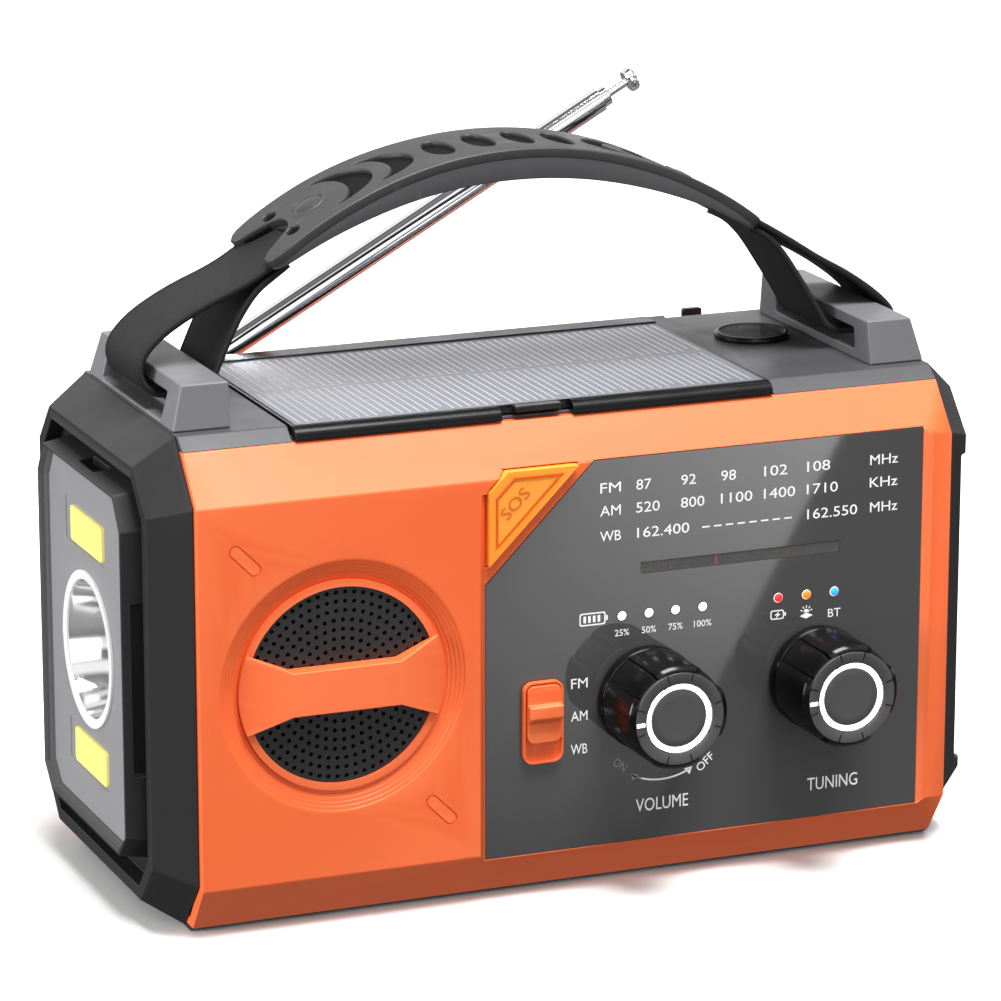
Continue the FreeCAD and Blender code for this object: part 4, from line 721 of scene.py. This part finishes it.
def compass():
    """Dome, printed ring and needle card."""
    centre = mm(67.7, 7.7, 0)
    dome = lathe("compass_dome", ((8.1, 117.95), (8.05, 118.25), (7.2, 118.62), (5.2, 118.95),
                                  (2.6, 119.12), (0, 119.18), (0, 118.3), (7.4, 117.95)), centre, "z")
    piece("compass_dome", dome, "casing", "clear_window", "compass_lens", smooth=40)
    card = lathe("compass_disc", ((0, 114.5), (6.6, 114.35), (6.9, 114.3), (6.9, 113.85), (0, 113.85)),
                 centre, "z")
    piece("compass_disc", card, "compass", "black_trim", "compass_card", smooth=35)
    place = Matrix.Translation(centre + mm(0, 0, 114.56))
    marks = [flat([circle(0, 0, 6.5), circle(0, 0, 6.2)], place=place)]
    for i in range(36):
        turn = math.tau * i / 36
        reach = (5.0, 6.1) if i % 3 == 0 else (5.5, 6.1)
        line = [(r * math.cos(turn), r * math.sin(turn)) for r in reach]
        marks.append(flat([stroke(line, 0.16)], place=place))
    for letter, degrees in (("N", 90), ("E", 0), ("S", 270), ("W", 180)):
        turn = math.radians(degrees)
        marks.append(lettering(letter, 3.6 * math.cos(turn), 3.6 * math.sin(turn) - 0.8, 1.7, None, place,
                               centred=True))
    marks.append(flat([[(-0.7, 0), (0, 2.6), (0.7, 0), (0, -2.6)]], place=place))
    piece("compass_marks", joined("compass_marks", marks), "compass", "compass_face")
    softened("compass_cup", 0.2)


def top_side():
    softened("top_cover", 0.3)
    softened("solar_lid", 0.35)
    solar_fingers()
    compass()
    softened("left_anchor", 0.5, "anchor_grey")
    softened("right_anchor", 0.5, "anchor_grey")


# ---- handle -----------------------------------------------------------------------------------------

STRAP_ROUTES = {
    "left_strap": ((-56, 153.5), (-62.5, 149.6), (-70, 144.9), (-81.6, 140.4), (-91.8, 134.4), (-96.6, 128),
                   (-93.9, 121.4), (-86.4, 121.2), (-79, 121.6), (-76.6, 127.6), (-72.4, 136.6),
                   (-67.6, 143.6), (-62.6, 147), (-59.5, 149.2)),
    "right_strap": ((54, 153), (60.5, 149.4), (69, 144.2), (76, 139.6), (82.3, 136.2), (88.6, 132),
                    (93.6, 127.9), (96.2, 124.6), (94.5, 121.3), (86.4, 121.2), (79, 121.6), (76, 127),
                    (71.2, 134.6), (65.8, 142.8), (61, 147.2), (57.5, 148.5))}


def smooth_route(points):
    """Points along a smooth curve that the route's corners pull on."""
    curve = bpy.data.curves.new("route", "CURVE")
    curve.dimensions = "3D"
    curve.resolution_u = 10
    spline = curve.splines.new("NURBS")
    spline.points.add(len(points) - 1)
    for point, place in zip(spline.points, points):
        point.co = (*place, 1)
    spline.order_u = 3
    spline.use_endpoint_u = True
    holder = bpy.data.objects.new("route", curve)
    mesh = bpy.data.meshes.new_from_object(holder)
    found = [vertex.co.copy() for vertex in mesh.vertices]
    bpy.data.objects.remove(holder)
    bpy.data.meshes.remove(mesh)
    bpy.data.curves.remove(curve)
    return found


def strap(name):
    """Webbing with rounded selvedges, thickest along its two bound edges."""
    route = smooth_route([mm(x, 0, z) for x, z in STRAP_ROUTES[name]])
    half, thick = 12.4, 0.78
    section = []
    for y, t in ((0, 0.92), (4, 0.92), (8, 0.92), (10.6, 0.92), (11.0, 0.8), (11.4, 1.0), (11.9, 1.0),
                 (12.25, 0.75), (12.4, 0.3)):
        section.append((y, t * thick))
    top = [(-y, t) for y, t in reversed(section)] + section[1:]
    loop = top + [(y, -t) for y, t in reversed(top)]
    bm = bmesh.new()
    layer = bm.loops.layers.uv.new("webbing")
    rings, travelled, last = [], 0.0, route[0]
    for i, point in enumerate(route):
        travelled += (point - last).length
        last = point
        along = (route[min(i + 1, len(route) - 1)] - route[max(i - 1, 0)]).normalized()
        across = Vector((0, 1, 0))
        up = across.cross(along)
        ring = [bm.verts.new(point + across * mm(y) + up * mm(t)) for y, t in loop]
        rings.append((ring, travelled / MM))
    for (first, start), (second, end) in zip(rings, rings[1:]):
        count = len(first)
        for i in range(count):
            after = (i + 1) % count
            face = bm.faces.new((first[i], first[after], second[after], second[i]))
            for corner, place in zip(face.loops, ((start, i), (start, after), (end, after), (end, i))):
                corner[layer].uv = (place[0], loop[place[1]][0])
    for ring in (rings[0][0], rings[-1][0]):
        bm.faces.new(ring)
    piece(f"{name}_webbing", from_bmesh(name, bm), "casing", "webbing", name, smooth=40)


GRIP_RADIUS, GRIP_THICK, GRIP_TAPER = 100.0, 7.4, 20.0
GRIP_MIDDLE = mm(-2.6, 0, 72.6)
GRIP_REACH = math.radians(38.8) * GRIP_RADIUS
RIVET_AT = 49.9


def grip_width(s):
    """Half the grip's width at a distance along it: narrow in the hand, wider at both forks."""
    share = min(1.0, max(0.0, (abs(s) - 14) / 34))
    return 14.3 + 1.3 * share * share * (3 - 2 * share)


def grip_outline(reach, margin=0.0):
    """The grip unrolled: its ends fork into two rounded lobes round a U-shaped notch."""
    def half(s):
        return grip_width(s) - margin
    flank = [(s, -half(s)) for s in range(0, 58, 3)]
    wide = half(reach)
    lobe = [(reach - 6.5, -wide), (reach - 3, -wide + 0.3), (reach - 1.2, -wide + 1.2), (reach, -wide + 3),
            (reach - 0.4, -wide + 5.2), (reach - 2.4, -wide + 6.9), (reach - 5.6, -wide + 8.3)]
    right = flank + lobe
    right += [(reach - 8.2 - 3.2 * math.cos(math.radians(a)), 5.6 * math.sin(math.radians(a)))
              for a in range(-75, 76, 15)]
    right += [(s, -y) for s, y in reversed(flank + lobe)]
    return mirrored(right)


def mirrored(right):
    """A whole outline from its right half; points on the middle line are used once."""
    return right + [(-s, y) for s, y in reversed(right) if s > 0]


def crescent(tail, nose, half_length, waist):
    """A crescent whose tips point away from the middle of the grip; waist is where its hollow reaches."""
    outer, inner = [], []
    for a in range(-90, 91, 10):
        turn = math.radians(a)
        outer.append((tail - (tail - nose) * math.cos(turn), half_length * math.sin(turn)))
        inner.append((tail - (tail - waist) * math.cos(turn), (half_length - 1.2) * math.sin(turn)))
    return outer + inner[-2:0:-1]


def grip_holes():
    """Two ovals each side of the middle, then two crescents, and two small holes at each fork."""
    holes = []
    for sign in (-1, 1):
        for s in (5.0, 15.2):
            holes.append(circle(sign * s, 0, 3.2, squash=2.4))
        for tail, nose, half, waist in ((33.5, 22.2, 10.2, 28.4), (45.5, 33.0, 11.2, 39.8)):
            loop = crescent(tail, nose, half, waist)
            holes.append([(sign * x, y) for x, y in loop])
        holes += [circle(sign * 57.6, y, 1.7, squash=1.3) for y in (-8.2, 8.2)]
    return holes


def bent(mesh, taper=0.0):
    """Rolls a flat drawing (x along the grip, z height above its top face) onto the grip's arc."""
    bm = bmesh.new()
    bm.from_mesh(mesh)
    bpy.data.meshes.remove(mesh)
    for i in range(-33, 34):
        geometry = bm.verts[:] + bm.edges[:] + bm.faces[:]
        bmesh.ops.bisect_plane(bm, geom=geometry, dist=1e-7, plane_co=(mm(i * 2.07), 0, 0),
                               plane_no=(1, 0, 0))
    for vertex in bm.verts:
        turn = vertex.co.x / mm(GRIP_RADIUS)
        height = vertex.co.z
        if taper and height < mm(-2):
            height += mm(taper) * (1 - math.cos(turn)) * (height / mm(-GRIP_THICK))
        radius = mm(GRIP_RADIUS) + height
        vertex.co = GRIP_MIDDLE + Vector((radius * math.sin(turn), vertex.co.y, radius * math.cos(turn)))
    return from_bmesh("grip", bm)


def grip():
    level = Matrix.Identity(4)
    holes = grip_holes()
    plate = outline_solid("plate", [grip_outline(GRIP_REACH), *holes], -2.4, 0, 0.45, level)
    piece("grip_plate", bent(plate), "casing", "rubber_grip", "handle_grip", smooth=32)
    core = outline_solid("core", [grip_outline(GRIP_REACH - 0.2, 0.12)], -GRIP_THICK, -2.2, 0.35, level)
    piece("grip_core", bent(core, GRIP_TAPER), "casing", "rubber_side", smooth=32)
    web = outline_solid("web", [grip_outline(GRIP_REACH - 1.5, 1.5)], -2.35, -1.0, 0.1, level)
    piece("grip_web", bent(web), "casing", "rubber_web", smooth=32)
    profile = ((0, 0.5), (1.8, 0.4), (3.1, 0.1), (3.6, -0.3), (3.9, -0.35), (4.2, 0.1), (4.5, 0.15),
               (4.8, -0.1), (4.8, -0.6), (0, -0.6))
    domes = []
    for sign in (-1, 1):
        turn = sign * RIVET_AT / GRIP_RADIUS
        dome = lathe("rivet", profile, Vector((0, 0, mm(GRIP_RADIUS))), "z", 48)
        dome.transform(Matrix.Translation(GRIP_MIDDLE) @ Matrix.Rotation(turn, 4, "Y"))
        domes.append(dome)
    piece("rivet_domes", joined("rivet_domes", domes), "casing", "rubber_grip", "grip_rivets", smooth=35)


def handle():
    strap("left_strap")
    strap("right_strap")
    grip()


# ---- antenna ----------------------------------------------------------------------------------------

MAST = Matrix.Translation(mm(-75, 42, 107)) @ Matrix.Rotation(math.radians(-29.05), 4, "Y")
SLEEVE_END = 133.3


def along_mast(name, profile, body, finish, *nodes, smooth=30):
    """Turned about the mast's axis; the profile's distances are from the swivel's pivot."""
    mesh = lathe(name, profile, Vector((0, 0, 0)), "x", 64)
    mesh.transform(MAST)
    piece(name, mesh, body, finish, *nodes, smooth=smooth)


def antenna():
    end = SLEEVE_END
    along_mast("mast_sleeve", ((0, 12.7), (2.5, 12.7), (2.95, 13.2), (2.95, 16.2), (2.75, 16.5), (2.75, 16.9),
                               (2.98, 17.2), (2.98, end - 0.3), (2.75, end), (2.53, end), (2.53, end - 3),
                               (0, end - 3)), "mast", "chrome_tube")
    along_mast("middle_tube_end", ((0, end - 6), (2.47, end - 6), (2.47, end + 1.8), (2.2, end + 2.2),
                                   (1.1, end + 2.2), (1.1, end - 1), (0, end - 1)), "middle_tube",
               "chrome_tube")
    along_mast("tip_rod_end", ((0, end), (0.98, end), (0.98, end + 8.1), (2.2, end + 8.15), (2.8, end + 8.35),
                               (3.05, end + 8.8), (3.05, end + 9.8), (2.8, end + 10.3), (2.2, end + 10.55),
                               (0, end + 10.7)), "tip", "chrome_tube")
    softened("antenna_swivel", 0.25)
    softened("antenna_mounts", 0.3)


# ---- torch end --------------------------------------------------------------------------------------

def torch():
    """Mirror bowl behind the window, with a bright ring round its mouth."""
    axis = mm(0, 0, 58.8)
    bowl = lathe("torch_bowl", ((16.6, 105.8), (16.3, 104.6), (15.3, 99.5), (13.0, 94.5), (9.6, 90.2),
                                (5.6, 87.3), (4.3, 86.4), (4.3, 86.0), (16.4, 86.0), (17.0, 105.6)),
                 axis, "-x", 64)
    piece("torch_bowl", bowl, "casing", "reflector", "torch_reflector", smooth=35)
    ring = lathe("torch_ring", ((18.7, 106.3), (18.7, 105.7), (16.5, 105.6), (16.5, 106.1), (17.2, 106.4)),
                 axis, "-x", 64)
    piece("torch_ring", ring, "casing", "ring_white", smooth=35)


def torch_end():
    torch()
    softened("left_end_frame", 0.3)
    softened("lamp_bezel", 0.3)
    softened("lamp_plate", 0.3)
    softened("right_end_frame", 0.3)
    softened("right_end_cover", 0.4)


# ---- casing and back --------------------------------------------------------------------------------

def casing():
    softened("front_shell", 0.35, merge=False, shortest=9)
    softened("rear_shell", 0.35, merge=False, shortest=9)
    softened("base_plate", 0.3)
    for node, width in (("crank_arm", 0.8), ("crank_knob_post", 0.3), ("crank_knob", 0.4),
                        ("socket_flap", 0.5), ("torch_button", 0.4), ("socket_block", 0.3),
                        ("case_screws", 0.25), ("rubber_feet", 0.3)):
        softened(node, width)


def paint_frame():
    """Every CAD node that still shows takes the finish of its material slot."""
    special = {"tuning_window": "smoked_window", "tuning_needle": "black_trim"}
    for node, thing in NODES.items():
        finish = special.get(node, SLOT_OF[node])
        thing.data.materials.clear()
        thing.data.materials.append(MATERIALS[finish])


# ---- studio -----------------------------------------------------------------------------------------

# Brightness of the sky against height: 0 is straight down, 0.5 the horizon and 1 straight up.
SKY = ((0.0, 0.3), (0.3, 0.22), (0.44, 0.06), (0.5, 0.8), (0.62, 1.0), (0.67, 0.05), (0.77, 0.05),
       (0.82, 1.1), (0.9, 1.1), (0.94, 0.05), (1.0, 0.3))
# Area lights: name, place, width and power.
LIGHTS = (("top", (0.2, -0.72, 3.0), 1.5, 205), ("back", (0.05, 1.6, 0.5), 1.5, 4),
          ("front", (-0.3, -1.7, 0.6), 1.2, 7), ("left", (-2.0, 0.0, 0.35), 0.8, 38))
LIGHTS_AIM = Vector((0, 0, 0.08))
CAMERA_AT, CAMERA_AIM, LENS = mm(-430.49, -1051.57, 387.46), mm(-1.944, 0, 84.27), 176.1
FLOOR_HALF = 6.0
# The card that the dial's lacquer mirrors: its corners, and where its light starts and is full.
CARD = ((60, -850, -330), (348, -850, -330), (480, -850, -90), (60, -850, -90))
CARD_RISE, CARD_ALONG, CARD_LIGHT = (-300, -110), (190, 470), 5.2


def stage_sheet(name, corners):
    """A flat sheet of the studio through four corners, in metres. It shades nothing."""
    mesh = bpy.data.meshes.new(name)
    mesh.from_pydata([tuple(corner) for corner in corners], [], [(0, 1, 2, 3)])
    sheet = bpy.data.objects.new(name, mesh)
    bpy.context.scene.collection.objects.link(sheet)
    sheet.visible_shadow = False
    return sheet


def sky():
    """Soft light from all round, in bright and dark bands that metal can mirror."""
    world = bpy.data.worlds.new("studio")
    world.use_nodes = True
    tree = world.node_tree
    background = tree.nodes["Background"]
    place = tree.nodes.new("ShaderNodeTexCoord")
    split = tree.nodes.new("ShaderNodeSeparateXYZ")
    height = tree.nodes.new("ShaderNodeMapRange")
    ramp = tree.nodes.new("ShaderNodeValToRGB")
    height.inputs["From Min"].default_value = -1.0
    tree.links.new(place.outputs["Generated"], split.inputs["Vector"])
    tree.links.new(split.outputs["Z"], height.inputs["Value"])
    tree.links.new(height.outputs["Result"], ramp.inputs["Fac"])
    tree.links.new(ramp.outputs["Color"], background.inputs["Color"])
    elements = ramp.color_ramp.elements
    for level, grey in SKY[1:-1]:
        elements.new(level).color = (grey, grey, grey, 1)
    for element, (level, grey) in zip((elements[0], elements[len(elements) - 1]), (SKY[0], SKY[-1])):
        element.position, element.color = level, (grey, grey, grey, 1)
    background.inputs["Strength"].default_value = 1.0
    bpy.context.scene.world = world


def camera():
    thing = bpy.data.objects.new("camera", bpy.data.cameras.new("camera"))
    thing.data.lens = LENS
    thing.data.sensor_width = 36
    thing.location = CAMERA_AT
    thing.rotation_euler = (CAMERA_AIM - CAMERA_AT).to_track_quat("-Z", "Y").to_euler()
    bpy.context.scene.collection.objects.link(thing)
    bpy.context.scene.camera = thing


def floor():
    """Pale floor that takes the radio's shadow and throws no light back at it."""
    half = FLOOR_HALF
    sheet = stage_sheet("floor", [(-half, -half, 0), (half, -half, 0), (half, half, 0), (-half, half, 0)])
    sheet.data.materials.append(moulded("floor_paper", srgb(236, 236, 235), 0.9, wear=0))
    sheet.visible_diffuse = sheet.visible_glossy = sheet.visible_transmission = False


def dial_card():
    """A lit card out of shot, brightest at its upper right, seen only in gloss."""
    lit = Shader("card_paper", (0, 0, 0, 1), 1.0, Specular_IOR_Level=0.0)
    place = lit.node("SeparateXYZ")
    lit.link(lit.coordinates.outputs["Object"], place.inputs["Vector"])
    both = lit.node("Math", operation="MULTIPLY")
    for socket, (axis, (start, end)) in zip(both.inputs, (("Z", CARD_RISE), ("X", CARD_ALONG))):
        lit.link(lit.remap(place.outputs[axis], 0.0, 1.0, mm(start), mm(end)), socket)
    tone = lit.mix(both.outputs[0], (0, 0, 0, 1), (1, 1, 1, 1))
    lit.link(tone, lit.principled.inputs["Emission Color"])
    lit.set("Emission Strength", CARD_LIGHT)
    lit.material.cycles.emission_sampling = "NONE"
    sheet = stage_sheet("card", [mm(*corner) for corner in CARD])
    sheet.data.materials.append(lit.material)
    sheet.visible_camera = sheet.visible_diffuse = False


def lights():
    for name, place, width, power in LIGHTS:
        light = bpy.data.objects.new(name, bpy.data.lights.new(name, "AREA"))
        light.data.size = width
        light.data.energy = power
        light.location = place
        light.rotation_euler = (LIGHTS_AIM - light.location).to_track_quat("-Z", "Y").to_euler()
        bpy.context.scene.collection.objects.link(light)


def studio():
    bpy.context.scene.view_settings.view_transform = "Standard"
    sky()
    camera()
    floor()
    dial_card()
    lights()


def main():
    paint_frame()
    casing()
    torch_end()
    dial_side()
    top_side()
    handle()
    antenna()
    studio()


main()
